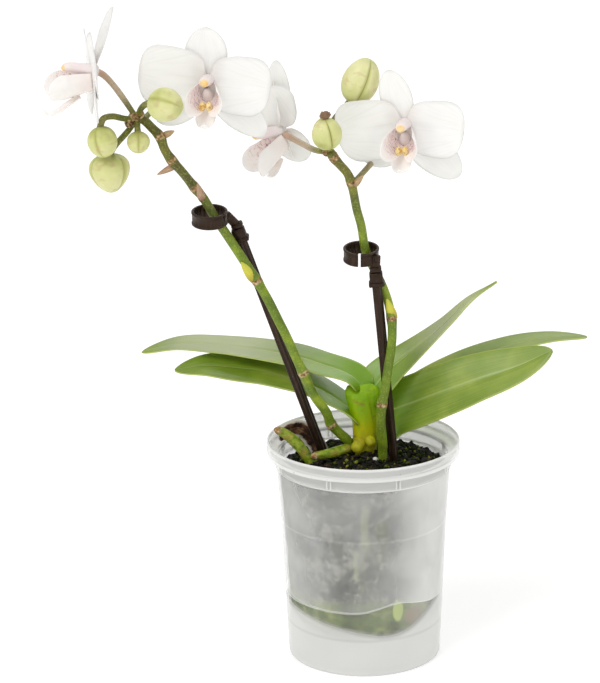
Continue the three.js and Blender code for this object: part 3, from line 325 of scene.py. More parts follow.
# Margins of the clasping leaf bases: turn at the foot and at the top, in degrees, and how far they stand
# off. They run between the heights of the span.
CLASP_SPAN = (98, 127)
CLASPS = [
    {"turn": (-165, -128), "off": 0.4},
    {"turn": (-30, -70), "off": -0.4},
]
ROOT_KNOBS = [
    {"line": [(-0.5, 5, 102), (-2.4, 2, 100.3), (-4.4, -0.4, 98.6)], "radius": 2.9},
    {"line": [(2.3, 5, 103.2), (3.7, 2.4, 102), (4.6, 0.8, 100.6)], "radius": 2.5},
]
ROOTS = {
    "aerial_root_front": {
        "radius": 2.5,
        "line": [(-3.8, 6, 98.6), (-8, 3, 98.7), (-13.6, 0, 98), (-19.2, -2, 97.5), (-24.3, -3, 96.9)],
    },
    "aerial_root_back": {
        "radius": 2.8,
        "line": [(-22.6, 1, 91), (-25.8, 0.5, 95.2), (-29, 1, 99.5), (-32.7, 2.4, 103.4), (-37.4, 4.5, 106.4),
                 (-41.4, 6, 107.6)],
    },
}
HUSK = {
    "line": [(-19, 13, 92), (-23, 14.5, 99), (-29, 15.5, 104.4), (-36, 13, 104), (-39, 10, 100.6)],
    "half": 4.4, "root": 0.8, "widest": 0.35, "face": (-0.2, -0.95, 0.25), "cup": 0.35, "thickness": 0.9,
}

# ---------------------------------------------------------------- lines, skins and sheets


def unit(vector):
    vector = np.asarray(vector, float)
    return vector / np.maximum(np.linalg.norm(vector, axis=-1, keepdims=True), 1e-9)


def smooth_step(low, high, value):
    """0 at low, 1 at high, smooth between; low may be the larger."""
    share = np.clip((np.asarray(value, float) - low) / (high - low), 0, 1)
    return share * share * (3 - 2 * share)


def peak(away, width):
    """1 where away is 0, falling to nothing over about twice the width."""
    return np.exp(-((away / width) ** 2))


class Line:
    """A smooth line through points, read by its share of the length."""

    def __init__(self, points, steps=24):
        p = np.asarray(points, float)
        p = np.vstack([2 * p[0] - p[1], p, 2 * p[-1] - p[-2]])
        gaps = np.maximum(np.linalg.norm(np.diff(p, axis=0), axis=1), 1e-6) ** 0.5
        u = np.linspace(0, 1, steps, endpoint=False)[:, None]
        dense = []
        for i in range(1, len(p) - 2):
            a, b, c = gaps[i - 1:i + 2]
            p0, p1, p2, p3 = p[i - 1:i + 3]
            t1 = ((p1 - p0) / a - (p2 - p0) / (a + b) + (p2 - p1) / b) * b
            t2 = ((p2 - p1) / b - (p3 - p1) / (b + c) + (p3 - p2) / c) * b
            square = 3 * (p2 - p1) - 2 * t1 - t2
            cube = 2 * (p1 - p2) + t1 + t2
            dense.append(p1 + t1 * u + square * u**2 + cube * u**3)
        self.points = np.vstack(dense + [p[-2:-1]])
        self.run = np.concatenate([[0], np.cumsum(np.linalg.norm(np.diff(self.points, axis=0), axis=1))])
        self.length = self.run[-1]

    def at(self, t):
        where = np.asarray(t, float) * self.length
        return np.stack([np.interp(where, self.run, self.points[:, k]) for k in range(3)], -1)

    def along(self, t):
        t = np.asarray(t, float)
        step = 0.004
        return unit(self.at(np.minimum(t + step, 1)) - self.at(np.maximum(t - step, 0)))

    def share_of(self, point):
        """Where along the line a point lies nearest, from 0 to 1."""
        near = np.argmin(np.linalg.norm(self.points - np.asarray(point, float), axis=1))
        return self.run[near] / self.length

    def rings(self, shares, first=(0.3, -1, 0.2)):
        """Points, and two directions across the line that don't twist."""
        centre, along = self.at(shares), self.along(shares)
        side = np.zeros_like(along)
        last = np.asarray(first, float)
        for i, way in enumerate(along):
            last = last - way * (last @ way)
            last = last / np.linalg.norm(last)
            side[i] = last
        return centre, along, side, np.cross(along, side)


class Skin:
    """The vertices and faces of one piece, with the growth values (three per vertex) its finish reads."""

    def __init__(self):
        self.points = []
        self.growth = []
        self.faces = []
        self.finish = []
        self.count = 0

    def add(self, points, faces, growth, finish=0):
        points = np.asarray(points, float).reshape(-1, 3)
        self.points.append(points)
        self.growth.append(np.broadcast_to(np.asarray(growth, float), points.shape))
        self.faces += [[k + self.count for k in face] for face in faces]
        self.finish += [finish] * len(faces)
        self.count += len(points)

    def grid(self, points, growth, wrap=False, ends=(False, False), finish=0):
        """A grid of rows by columns; wrap closes each row, and ends close the first and last with a fan."""
        rows, columns = points.shape[:2]
        faces = []
        for i in range(rows - 1):
            for j in range(columns if wrap else columns - 1):
                k = (j + 1) % columns
                faces.append([i * columns + j, i * columns + k, (i + 1) * columns + k, (i + 1) * columns + j])
        flat = points.reshape(-1, 3)
        grown = np.broadcast_to(growth, points.shape).reshape(-1, 3)
        for end, row in ((0, 0), (1, rows - 1)):
            if ends[end]:
                pole = len(flat)
                flat = np.vstack([flat, points[row].mean(axis=0)])
                grown = np.vstack([grown, growth[row].mean(axis=0)])
                for j in range(columns):
                    pair = [row * columns + j, row * columns + (j + 1) % columns]
                    faces.append([pole, pair[1 - end], pair[end]])
        self.add(flat, faces, grown, finish)

    def build(self, name, finishes, node=None):
        """The Blender object, riding on the body and standing for its node."""
        mesh = bpy.data.meshes.new(name)
        mesh.from_pydata(((np.vstack(self.points) + STAND) * MM).tolist(), [], self.faces)
        values = mesh.attributes.new("growth", "FLOAT_VECTOR", "POINT")
        values.data.foreach_set("vector", np.vstack(self.growth).ravel())
        for material in finishes:
            mesh.materials.append(material)
        mesh.polygons.foreach_set("material_index", self.finish)
        mesh.polygons.foreach_set("use_smooth", [True] * len(mesh.polygons))
        mesh.update()
        piece = bpy.data.objects.new(name, mesh)
        bpy.context.scene.collection.objects.link(piece)
        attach(piece, BODY)
        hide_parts(node or name)
        return piece


def tube(skin, line, radius_at, sides, rows, growth_at=None, finish=0, shares=None):
    """A round body along a line; radius_at(t, angle) gives its section."""
    t = np.linspace(0, 1, rows + 1) if shares is None else shares
    centre, _, side, up = line.rings(t)
    angle = np.linspace(0, 2 * np.pi, sides, endpoint=False)
    tt, aa = np.meshgrid(t, angle, indexing="ij")
    radius = np.broadcast_to(radius_at(tt, aa), tt.shape)
    points = (centre[:, None] + side[:, None] * (radius * np.cos(aa))[..., None]
              + up[:, None] * (radius * np.sin(aa))[..., None])
    if growth_at is None:
        growth = np.stack([tt, aa / (2 * np.pi), np.zeros_like(tt)], -1)
    else:
        growth = growth_at(tt, aa, points)
    skin.grid(points, growth, wrap=True, ends=(True, True), finish=finish)


def half_width(t, form):
    """Half width of a petal or leaf at t, from its root (0) to its tip (1)."""
    widest, tip = form["widest"], form.get("tip", 2.1)
    before = t < widest
    x = np.where(before, (widest - t) / widest, (t - widest) / (1 - widest))
    swell = (1 - np.clip(x, 0, 1) ** tip) ** (1 / tip)
    base = np.where(before, form["root"], 0)
    return np.maximum(form["half"] * (base + (1 - base) * swell), 0.3)


def sheet(skin, centre_grid, thickness, growth_side, edge=0.3, finish=0):
    """A closed sheet round a grid: full thickness inside, edge times that at its margins."""
    rows, columns = centre_grid.shape[:2]
    normal = unit(np.cross(np.gradient(centre_grid, axis=0), np.gradient(centre_grid, axis=1)))
    s = np.abs(np.linspace(-1, 1, columns))
    t = np.linspace(0, 1, rows)
    thin = (edge + (1 - edge) * (1 - s**5))[None, :] * (edge + (1 - edge) * (1 - t**14))[:, None]
    offset = normal * (thin * thickness / 2)[..., None]
    top, bottom = centre_grid + offset, centre_grid - offset
    border = [(0, j) for j in range(columns - 1)] + [(i, columns - 1) for i in range(rows - 1)]
    border += [(rows - 1, j) for j in range(columns - 1, 0, -1)] + [(i, 0) for i in range(rows - 1, 0, -1)]
    faces = []
    far = rows * columns
    for i in range(rows - 1):
        for j in range(columns - 1):
            a = i * columns + j
            faces.append([a, a + columns, a + columns + 1, a + 1])
            faces.append([far + a, far + a + 1, far + a + columns + 1, far + a + columns])
    for k, (i, j) in enumerate(border):
        m, n = border[(k + 1) % len(border)]
        a, b = i * columns + j, m * columns + n
        faces.append([a, b, b + far, a + far])
    points = np.vstack([top.reshape(-1, 3), bottom.reshape(-1, 3)])
    growth = np.vstack([growth_side(1).reshape(-1, 3), growth_side(-1).reshape(-1, 3)])
    skin.add(points, faces, growth, finish)


def blade(skin, line, form, face_at, cup, thickness, rows, columns, ripple=None, edge=0.3, finish=0,
          tint=1.0, place=None):
    """A leaf, petal or bract along a line; its margins rise by cup times its width.

    Growth gives the way from root to tip, the way across, and the side: tint on its face, -tint behind.
    """
    t = np.sin(np.pi / 2 * np.linspace(0, 1, rows + 1)) ** 0.92
    centre, along = line.at(t), line.along(t)
    face = np.array([face_at(x) for x in t])
    across = unit(np.cross(along, face))
    face = unit(np.cross(across, along))
    s = np.linspace(-1, 1, columns + 1)
    half = half_width(t, form)[:, None]
    rise = np.reshape(cup(t) if callable(cup) else cup, (-1, 1)) * half * np.abs(s)[None] ** 1.5
    if ripple is not None:
        rise = rise + ripple(t[:, None], s[None])
    grid = centre[:, None] + across[:, None] * (half * s[None])[..., None] + face[:, None] * rise[..., None]
    if place is not None:
        grid = place(grid)
    tt, ss = np.broadcast_arrays(t[:, None], s[None])

    def growth_side(side):
        return np.stack([tt, ss, np.full_like(tt, -side * tint)], -1)

    sheet(skin, grid, thickness, growth_side, edge, finish)


def turned_box(skin, size, centre, axes, finish=0, bevel=0.35):
    """A box with bevelled edges, its sides along the three axes."""
    half = np.asarray(size, float) / 2
    inner = half - bevel
    corners = [(a, b, c) for a in (-1, 1) for b in (-1, 1) for c in (-1, 1)]
    points = []
    index = {}
    for signs in corners:
        for k in range(3):
            corner = inner * signs
            corner[k] = half[k] * signs[k]
            index[signs, k] = len(points)
            points.append(corner)
    faces = []
    for k in range(3):
        u, v = [(1, 2), (2, 0), (0, 1)][k]
        for way in (-1, 1):
            loop = []
            for a, b in ((-1, -1), (1, -1), (1, 1), (-1, 1)):
                signs = [0, 0, 0]
                signs[k], signs[u], signs[v] = way, a, b
                loop.append(index[tuple(signs), k])
            faces.append(loop if way > 0 else loop[::-1])
    for k in range(3):
        u, v = [(1, 2), (2, 0), (0, 1)][k]
        for a in (-1, 1):
            for b in (-1, 1):
                low, high = [0, 0, 0], [0, 0, 0]
                low[k], high[k] = -1, 1
                low[u] = high[u] = a
                low[v] = high[v] = b
                low, high = tuple(low), tuple(high)
                loop = [index[low, u], index[high, u], index[high, v], index[low, v]]
                faces.append(loop if a * b < 0 else loop[::-1])
    for signs in corners:
        loop = [index[signs, k] for k in range(3)]
        faces.append(loop if signs[0] * signs[1] * signs[2] > 0 else loop[::-1])
    turn = np.asarray(axes, float)
    skin.add(np.asarray(points) @ turn + np.asarray(centre, float), faces, (0.5, 0.5, 0), finish)


def axes_along(way, side=(1, 0, 0)):
    """Three directions, the last along a way, the first nearest to side."""
    up, side = unit(way), np.asarray(side, float)
    first = unit(side - up * (side @ up))
    return np.array([first, np.cross(up, first), up])


def lump(skin, centre, size, axes, chance, rough, finish=0, growth=(0, 0, 0), rings=5, sides=8):
    """A small rounded body, such as a crumb of bark; rough is the share by which it is uneven."""
    points = []
    for i in range(rings):
        polar = math.pi * (i + 0.5) / rings
        for k in range(sides):
            turn = 2 * math.pi * (k + 0.5 * (i % 2)) / sides
            across = math.sin(polar)
            way = np.array([across * math.cos(turn), across * math.sin(turn), math.cos(polar)])
            points.append(way * (1 + rough * (chance.random() - 0.5) * 2))
    grid = (np.array(points) * size) @ np.asarray(axes, float) + np.asarray(centre, float)
    grid = grid.reshape(rings, sides, 3)
    grown = np.broadcast_to(np.asarray(growth, float), grid.shape)
    skin.grid(grid, grown, wrap=True, ends=(True, True), finish=finish)


def random_axes(chance):
    way = [chance.uniform(-1, 1) for _ in range(3)]
    side = [chance.uniform(-1, 1) for _ in range(3)]
    return axes_along(way, side)


# ---------------------------------------------------------------- finishes


def colour(value):
    """A linear colour from its six hexadecimal digits; three numbers stay as they are."""
    if not isinstance(value, str):
        return tuple(value[:3])
    screen = [int(value[k:k + 2], 16) / 255 for k in (0, 2, 4)]
    return tuple(v / 12.92 if v <= 0.04045 else ((v + 0.055) / 1.055) ** 2.4 for v in screen)


def flesh(weight, radius, scale):
    """The values of light that sinks into a leaf, stem or petal; the scale is in metres."""
    return {"Subsurface Weight": weight, "Subsurface Radius": radius, "Subsurface Scale": scale}


class Shade:
    """A socket in a finish; arithmetic on it adds Math nodes."""

    def __init__(self, finish, socket):
        self.finish = finish
        self.socket = socket

    def math(self, operation, first, second=0.0):
        return self.finish.node("ShaderNodeMath", {"operation": operation}, {0: first, 1: second})

    def __add__(self, other):
        return self.math("ADD", self, other)

    __radd__ = __add__

    def __sub__(self, other):
        return self.math("SUBTRACT", self, other)

    def __rsub__(self, other):
        return self.math("SUBTRACT", other, self)

    def __mul__(self, other):
        return self.math("MULTIPLY", self, other)

    __rmul__ = __mul__

    def __truediv__(self, other):
        return self.math("DIVIDE", self, other)

    def __rtruediv__(self, other):
        return self.math("DIVIDE", other, self)

    def __pow__(self, other):
        return self.math("POWER", self, other)

    def __rpow__(self, other):
        return self.math("POWER", other, self)

    def __abs__(self):
        return self.math("ABSOLUTE", self)


class Finish:
    """A material with one Principled shader: constants on its sockets, expressions on the rest."""

    def __init__(self, name, constants):
        self.material = bpy.data.materials.new(name)
        self.material.use_nodes = True
        self.tree = self.material.node_tree
        self.shader = self.tree.nodes["Principled BSDF"]
        for key, value in constants.items():
            self.feed(self.shader.inputs[key], value)

    def node(self, kind, settings=None, inputs=None, output=0):
        made = self.tree.nodes.new(kind)
        for key, value in (settings or {}).items():
            if key == "stops":
                self.set_stops(made.color_ramp, value)
            else:
                setattr(made, key, value)
        for key, value in (inputs or {}).items():
            self.feed(made.inputs[key], value)
        return Shade(self, made.outputs[output])

    def set_stops(self, ramp, stops):
        while len(ramp.elements) < len(stops):
            ramp.elements.new(1.0)
        for element, (position, value) in zip(ramp.elements, stops):
            element.position = position
            element.color = (*colour(value), 1)

    def feed(self, socket, value):
        if isinstance(value, Shade):
            self.tree.links.new(value.socket, socket)
        elif socket.type == "RGBA":
            socket.default_value = (*colour(value), 1)
        else:
            socket.default_value = value

    def place(self, stretch=(1, 1, 1)):
        """Position from the centre of the pot's foot in millimetres, stretched along each axis."""
        position = self.node("ShaderNodeTexCoord", output="Object")
        scale = [k / MM for k in stretch]
        start = [-a * k for a, k in zip(STAND, stretch)]
        inputs = {0: position, 1: scale, 2: start}
        return self.node("ShaderNodeVectorMath", {"operation": "MULTIPLY_ADD"}, inputs)

    def parts(self, vector):
        """The X, Y and Z of a vector."""
        return [self.node("ShaderNodeSeparateXYZ", None, {0: vector}, output=k) for k in range(3)]

    def growth(self):
        return self.node("ShaderNodeAttribute", {"attribute_name": "growth"}, output="Vector")

    def vector(self, x, y, z):
        return self.node("ShaderNodeCombineXYZ", None, {0: x, 1: y, 2: z})

    def noise(self, vector, scale, detail=3.0, distortion=0.0):
        inputs = {"Vector": vector, "Scale": scale, "Detail": detail, "Distortion": distortion}
        return self.node("ShaderNodeTexNoise", None, inputs)

    def band(self, value, low, high):
        """0 below low, 1 above high, smooth between."""
        inputs = {"Value": value, "From Min": low, "From Max": high}
        return self.node("ShaderNodeMapRange", {"interpolation_type": "SMOOTHSTEP"}, inputs)

    def below(self, value, low, high):
        """1 below low, 0 above high, smooth between."""
        return 1.0 - self.band(value, low, high)

    def near(self, away, inner, outer):
        """1 up to inner away from a place, 0 beyond outer, smooth between."""
        return 1.0 - self.band(abs(away), inner, outer)

    def ramp(self, value, stops):
        return self.node("ShaderNodeValToRGB", {"stops": stops}, {0: value})

    def mix(self, share, first, second):
        inputs = {"Factor": share, 6: first, 7: second}
        return self.node("ShaderNodeMix", {"data_type": "RGBA"}, inputs, output=2)

    def bump(self, height, strength, distance=0.0002):
        inputs = {"Height": height, "Strength": strength, "Distance": distance}
        return self.node("ShaderNodeBump", None, inputs)

    def link(self, **expressions):
        """Feed the shader's sockets, named in small letters, and give the finished material."""
        for key, value in expressions.items():
            self.feed(self.shader.inputs[key.replace("_", " ").title()], value)
        return self.material


def pot_finish(settings):
    """Frosted plastic: hazy above a wavy edge, clear in a window over the moss, milky below it.

    Growth x marks the ribs of the collar.
    """
    f = Finish("frosted_plastic", {"Roughness": 0.28, "IOR": 1.49, "Specular IOR Level": 0.5})
    place = f.place()
    x, y, z = f.parts(place)
    rib = f.band(f.parts(f.growth())[0], 0.2, 0.4)
    left = f.band(0.0 - x, 16.0, 38.0)
    right = f.band(x, 6.0, 34.0)
    wander = f.noise(f.vector(x, y, 0.0), 0.05, 2.0)
    crest = math.e ** (0.0 - ((x - HAZE_EDGE["at"]) / HAZE_EDGE["reach"]) ** 2)
    edge = HAZE_EDGE["height"] + HAZE_EDGE["crest"] * crest + HAZE_EDGE["wander"] * wander
    above = f.band(z - edge, -0.4, 0.4)
    line = f.near(z - edge, 0.05, 0.5)
    shallow = WINDOW_EDGE["left"] - x
    steep = x - WINDOW_EDGE["right"]
    low = WINDOW_EDGE["height"] + WINDOW_EDGE["slope"] * (shallow + abs(shallow))
    low = low + WINDOW_EDGE["curve"] * (steep + abs(steep)) ** 2
    window = f.band(z - low, -3.0, 1.8) * (1.0 - above)
    cloud = f.noise(f.place((1, 1, 0.8)), 0.06, 2.0, 0.4)
    milk = settings.haze + 0.3 * (cloud - 0.5) + 0.18 * left + 0.44 * right
    clear = 0.03 + 0.1 * cloud + 0.14 * right
    skirt = 0.47 + 0.1 * left + 0.1 * right
    alpha = above * milk + (1.0 - above) * (window * clear + (1.0 - window) * skirt)
    alpha = alpha + 0.22 * line * f.band(z - low, 0.0, 4.0)
    alpha = alpha + 0.06 * f.near(z - WALL_LINES["ledge"], 0.2, 0.8)
    collar = f.band(z, *WALL_BANDS["collar"])
    # Painted highlights: bright, more opaque bands along the lip's lower edge and along its top.
    painted_highlight = f.near(z - WALL_LINES["fold"], 0.4, 1.3) + f.band(z, *WALL_BANDS["rim"])
    seam = f.near(z - WALL_LINES["seam"], 0.15, 0.5)
    alpha = (1.0 - collar) * alpha + collar * (0.42 + 0.34 * painted_highlight + 0.3 * rib) + 0.35 * seam
    # Painted shadow: a dark, more opaque band on the collar just under the lip, off the ribs.
    shadow = f.near(z - WALL_LINES["groove"], 0.2, 0.9) * (1.0 - rib)
    speck = f.band(f.noise(place, 0.42, 4.0), 0.66, 0.74) * f.band(z, *WALL_BANDS["roll"])
    base = f.mix(speck * 0.45, settings.colour, "8d8a78")
    base = f.mix(shadow * 0.75, base, "5f6262")
    ring = f.near(z - WALL_LINES["ring"], 0.2, 1.1) * 0.16 + f.below(z, *WALL_BANDS["foot"]) * 0.3
    base = f.mix(ring, base, "8f928e")
    fine = f.noise(place, 1.4, 2.0)
    return f.link(base_color=base, alpha=alpha + 0.3 * shadow, normal=f.bump(fine, 0.05))


def mix_side_finish():
    """The bark, moss and roots behind the frosted wall, softened by it."""
    f = Finish("bark_behind_wall", {"Roughness": 0.9, "Specular IOR Level": 0.2})
    place = f.place()
    x, _, z = f.parts(place)
    broad = f.noise(place, 0.07, 2.5, 0.4)
    small = f.noise(place, 0.17, 3.0, 0.3)
    fleck = f.noise(place, 0.36, 3.0, 0.3)
    tone = 0.3 * broad + 0.4 * small + 0.3 * fleck
    bark = f.ramp(tone, [(0.4, "15150f"), (0.5, "45463b"), (0.6, "858579")])
    green = f.band(f.noise(f.place((1, 1, 0.5)), 0.09, 1.5), 0.56, 0.68)
    bark = f.mix(green * 0.4, bark, "5f6a3c")
    wave = 3.0 * (small - 0.5)
    upper, lower = [
        f.near(x - root["x"] + wave, *root["half"]) * f.band(z, *root["foot"]) * f.below(z, *root["top"])
        for root in WALL_ROOTS]
    bark = f.mix((upper + lower) * 0.5, bark, "9aa577")
    moss = f.ramp(0.5 * small + 0.5 * broad, [(0.36, "3c471a"), (0.5, "5f6e31"), (0.64, "8f9a5e")])
    low = f.below(z + 5.0 * (broad - 0.5), 33.0, 39.0)
    base = f.mix(low, bark, moss)
    for spot in WALL_SPOTS:
        across = (x - spot["at"][0]) / spot["size"][0]
        up = (z - spot["at"][1]) / spot["size"][1]
        base = f.mix(f.below(across ** 2 + up ** 2, *spot["edge"]) * spot["share"], base, spot["colour"])
    return f.link(base_color=base, normal=f.bump(small, 0.3, 0.0006))


def bark_finish(settings):
    f = Finish("damp_bark", {"Specular IOR Level": 0.35})
    place = f.place()
    tone = f.parts(f.growth())[0]
    fibre = f.noise(f.place((1, 0.35, 1)), 0.9, 5.0, 0.3)
    base = f.ramp(0.6 * tone + 0.5 * fibre, [
        (0.2, "050403"), (0.5, settings.bark_colour), (0.78, "33241a"), (0.97, "5d4632")])
    damp = f.noise(place, 0.25, 2.0)
    return f.link(base_color=base, roughness=0.55 + 0.35 * damp, normal=f.bump(fibre, 0.7, 0.0006))


def moss_finish(settings):
    f = Finish("moss", {"Specular IOR Level": 0.2, "Roughness": 0.85})
    tone = f.parts(f.growth())[0]
    crumb = f.noise(f.place(), 1.6, 4.0)
    base = f.ramp(0.55 * tone + 0.55 * crumb, [
        (0.25, "101604"), (0.48, settings.moss_colour), (0.68, "5c6a1c"), (0.9, "a8a83c")])
    return f.link(base_color=base, normal=f.bump(crumb, 0.8, 0.0005))


def pebble_finish():
    f = Finish("white_grit", {"Roughness": 0.8})
    grain = f.noise(f.place(), 1.5, 3.0)
    base = f.ramp(grain, [(0.3, "c9c6ba"), (0.7, "f2f0ea")])
    return f.link(base_color=base, normal=f.bump(grain, 0.4))


def leaf_finish(settings):
    """Growth gives the way from crown to tip, the way across, and the side.

    The side is below 0 underneath; 1 is a plain upper side, 0.7 one with a painted greyish sheen along its
    middle.
    """
    f = Finish("leaf", {"Specular IOR Level": 0.6, "Coat Roughness": 0.3, "Coat Weight": 0.25,
                        **flesh(0.1, (0.6, 1.0, 0.25), 0.0012)})
    t, s, side = f.parts(f.growth())
    streak = f.noise(f.vector(t * 1.6, s * 26.0, side), 1.0, 3.0)
    patch = f.noise(f.place(), 0.05, 3.0)
    top = f.ramp(patch * 0.6 + streak * 0.4, [
        (0.3, "5c7712"), (0.5, settings.leaf_colour), (0.7, "96a63a")])
    under = f.ramp(patch, [(0.3, "8a9c52"), (0.7, "a9b574")])
    base = f.mix(f.band(side, -0.2, 0.2), under, top)
    # Painted sheen: a pale greyish highlight along the middle of the leaves tinted 0.7.
    painted_sheen = f.band(side, 0.5, 0.7) * f.below(side, 0.7, 0.9)
    base = f.mix(painted_sheen * f.band(t, 0.3, 0.6) * f.below(t, 0.8, 1.0) * 0.5, base, "c6c8aa")
    young = f.below(t, 0.02, 0.42)
    base = f.mix(young * 0.85, base, "6f9c00")
    rib = f.near(s, 0.0, 0.06)
    base = f.mix(rib * 0.45, base, "b4c27a")
    margin = f.band(abs(s), 0.93, 1.0)
    base = f.mix(margin * 0.7, base, "b5c05c")
    speck = f.band(f.noise(f.place(), 0.8, 4.0), 0.7, 0.78)
    base = f.mix(speck * 0.25, base, "7b7233")
    height = streak * 0.5 + f.noise(f.place(), 0.9, 2.0) * 0.5
    rough = 0.34 + 0.16 * patch + 0.1 * f.below(side, -0.2, 0.2)
    return f.link(base_color=base, roughness=rough, normal=f.bump(height, 0.16))


def crown_finish():
    """Clasping leaf bases: yellow low down, green higher, stained with brown."""
    f = Finish("leaf_bases", {"Specular IOR Level": 0.3, **flesh(0.12, (0.7, 1.0, 0.25), 0.0012)})
    z = f.parts(f.place())[2]
    streak = f.noise(f.place((1, 1, 0.16)), 0.5, 3.0)
    base = f.ramp(0.4 * streak + 0.6 * f.band(z, 98.0, 124.0), [
        (0.15, "a09a26"), (0.38, "c0c200"), (0.6, "a0bc00"), (0.85, "7aa800")])
    stain = f.band(f.noise(f.place((1, 1, 2.2)), 0.16, 4.0), 0.58, 0.7)
    base = f.mix(stain * 0.6, base, "8a6a2a")
    low = f.below(z, 92.0, 97.0)
    base = f.mix(low * 0.7, base, "5b4a22")
    return f.link(base_color=base, roughness=0.38 + 0.2 * streak, normal=f.bump(streak, 0.25))


def root_finish():
    """A green living root that ends dry and corky; growth x runs from its foot to that end."""
    f = Finish("aerial_root", {"Specular IOR Level": 0.35})
    t = f.parts(f.growth())[0]
    skin = f.noise(f.place(), 0.5, 4.0)
    base = f.ramp(skin, [(0.3, "4f6610"), (0.5, "7f9618"), (0.72, "a5a93c")])
    rust = f.band(f.noise(f.place(), 0.22, 3.0), 0.52, 0.68)
    base = f.mix(rust * 0.55, base, "9a7b33")
    dry = f.band(t, 0.82, 0.93)
    cork = f.ramp(f.noise(f.place(), 0.9, 4.0), [(0.3, "6d4b27"), (0.55, "b08a55"), (0.72, "e6dccb")])
    base = f.mix(dry, base, cork)
    return f.link(base_color=base, roughness=0.45 + 0.4 * dry, normal=f.bump(skin, 0.5, 0.0004))


def husk_finish():
    """A dead leaf base: dark brown fibre with pale, frayed margins."""
    f = Finish("dry_husk", {"Roughness": 0.8, "Specular IOR Level": 0.25})
    t, s, side = f.parts(f.growth())
    strand = f.noise(f.vector(t * 3.0, s * 6.0, side), 1.0, 5.0, 0.5)
    fibre = 0.4 * strand + 0.6 * f.noise(f.place(), 0.3, 4.0)
    base = f.ramp(fibre, [(0.38, "150c07"), (0.5, "3d2516"), (0.58, "6b4a30"), (0.68, "a9927a")])
    frayed = f.band(abs(s) + 0.5 * (f.noise(f.place(), 0.45, 3.0) - 0.5), 0.62, 0.86)
    base = f.mix(frayed * 0.85, base, "ded5c8")
    return f.link(base_color=base, normal=f.bump(fibre, 0.8, 0.0005))


def spike_finish(settings):
    """Speckled green stem, brown at its joints and pale at its flowers.

    Growth gives the nearness to a joint, the height (0 to 1) and how near a stalk is to its flower.
    """
    f = Finish("flower_stem", {"Specular IOR Level": 0.45, **flesh(0.06, (0.6, 1.0, 0.3), 0.001)})
    joint, height, stalk = f.parts(f.growth())
    place = f.place()
    broad = f.noise(place, 0.12, 3.0)
    green = f.ramp(broad, [(0.3, "526a04"), (0.5, settings.stem_colour), (0.7, "8ca01c")])
    olive = f.ramp(broad, [(0.3, "474514"), (0.7, "757026")])
    base = f.mix(f.band(height, 0.35, 0.9), green, olive)
    pale = f.ramp(broad, [(0.3, "b09a7c"), (0.7, "c9b3a0")])
    base = f.mix(f.band(stalk, 0.05, 0.6), base, pale)
    dots = f.band(f.noise(place, 1.3, 2.0), 0.56, 0.64)
    base = f.mix(dots * 0.28, base, "b4c254")
    dark = f.band(f.noise(place, 1.15, 2.0), 0.6, 0.7)
    base = f.mix(dark * 0.4, base, "4f4a20")
    blush = f.band(stalk, 0.6, 1.0)
    base = f.mix(blush * 0.6, base, "cfa595")
    brown = f.ramp(f.noise(place, 0.7, 3.0), [(0.35, "4a2d18"), (0.5, "94703f"), (0.66, "cdb98c")])
    base = f.mix(f.band(joint, 0.35, 0.85), base, brown)
    height_map = 0.6 * f.noise(place, 1.3, 3.0) + 0.4 * broad
    return f.link(base_color=base, roughness=0.4 + 0.2 * broad, normal=f.bump(height_map, 0.25))


def bract_finish():
    """Scales of the stem: fresh ones are yellow with a brown foot, old ones papery; growth z is freshness."""
    f = Finish("bract", {"Specular IOR Level": 0.3})
    t, s, fresh = f.parts(f.growth())
    fibre = f.noise(f.vector(t * 2.0, s * 7.0, 0.0), 1.5, 4.0)
    dry = f.ramp(fibre, [(0.3, "8a6847"), (0.55, "b8977a"), (0.75, "d9c4ab")])
    dry = f.mix(f.below(t, 0.0, 0.3) * 0.7, dry, "4f3520")
    live = f.ramp(fibre * 0.5 + t * 0.5, [
        (0.12, "6b4a20"), (0.3, "a9993a"), (0.5, "cfc94a"), (0.85, "b9bd4c")])
    base = f.mix(f.band(abs(fresh), 0.2, 0.9), dry, live)
    return f.link(base_color=base, roughness=0.5 + 0.25 * fibre, normal=f.bump(fibre, 0.3))


def bud_finish(settings):
    """Growth gives the way from base to tip, the nearness to a seam, and the bud's own tone."""
    f = Finish("bud", {"Specular IOR Level": 0.4, "Roughness": 0.42, **flesh(0.25, (0.8, 1.0, 0.4), 0.002)})
    t, seam, tone = f.parts(f.growth())
    broad = f.noise(f.place(), 0.14, 3.0)
    base = f.ramp(0.55 * broad + 0.3 * t + 0.25 * tone, [
        (0.2, "a5a552"), (0.42, settings.bud_colour), (0.62, "d9d79a"), (0.85, "e8e5b6")])
    base = f.mix(f.band(seam, 0.0, 0.8) * 0.5, base, "a9ab4c")
    line = f.band(seam, 0.72, 1.0)
    base = f.mix(line * 0.85, base, "6f7422")
    tan = f.band(f.noise(f.place((1, 1, 1.6)), 0.2, 3.0), 0.55, 0.7)
    base = f.mix(tan * 0.35, base, "bf9a78")
    foot = f.below(t, 0.0, 0.2) + 0.6 * f.band(t, 0.88, 1.0)
    base = f.mix(foot * 0.7, base, "98a04c")
    vein = f.noise(f.vector(t * 2.0, seam * 7.0, tone), 1.6, 3.0)
    return f.link(base_color=base, normal=f.bump(vein * 0.5 + broad * 0.5, 0.2))


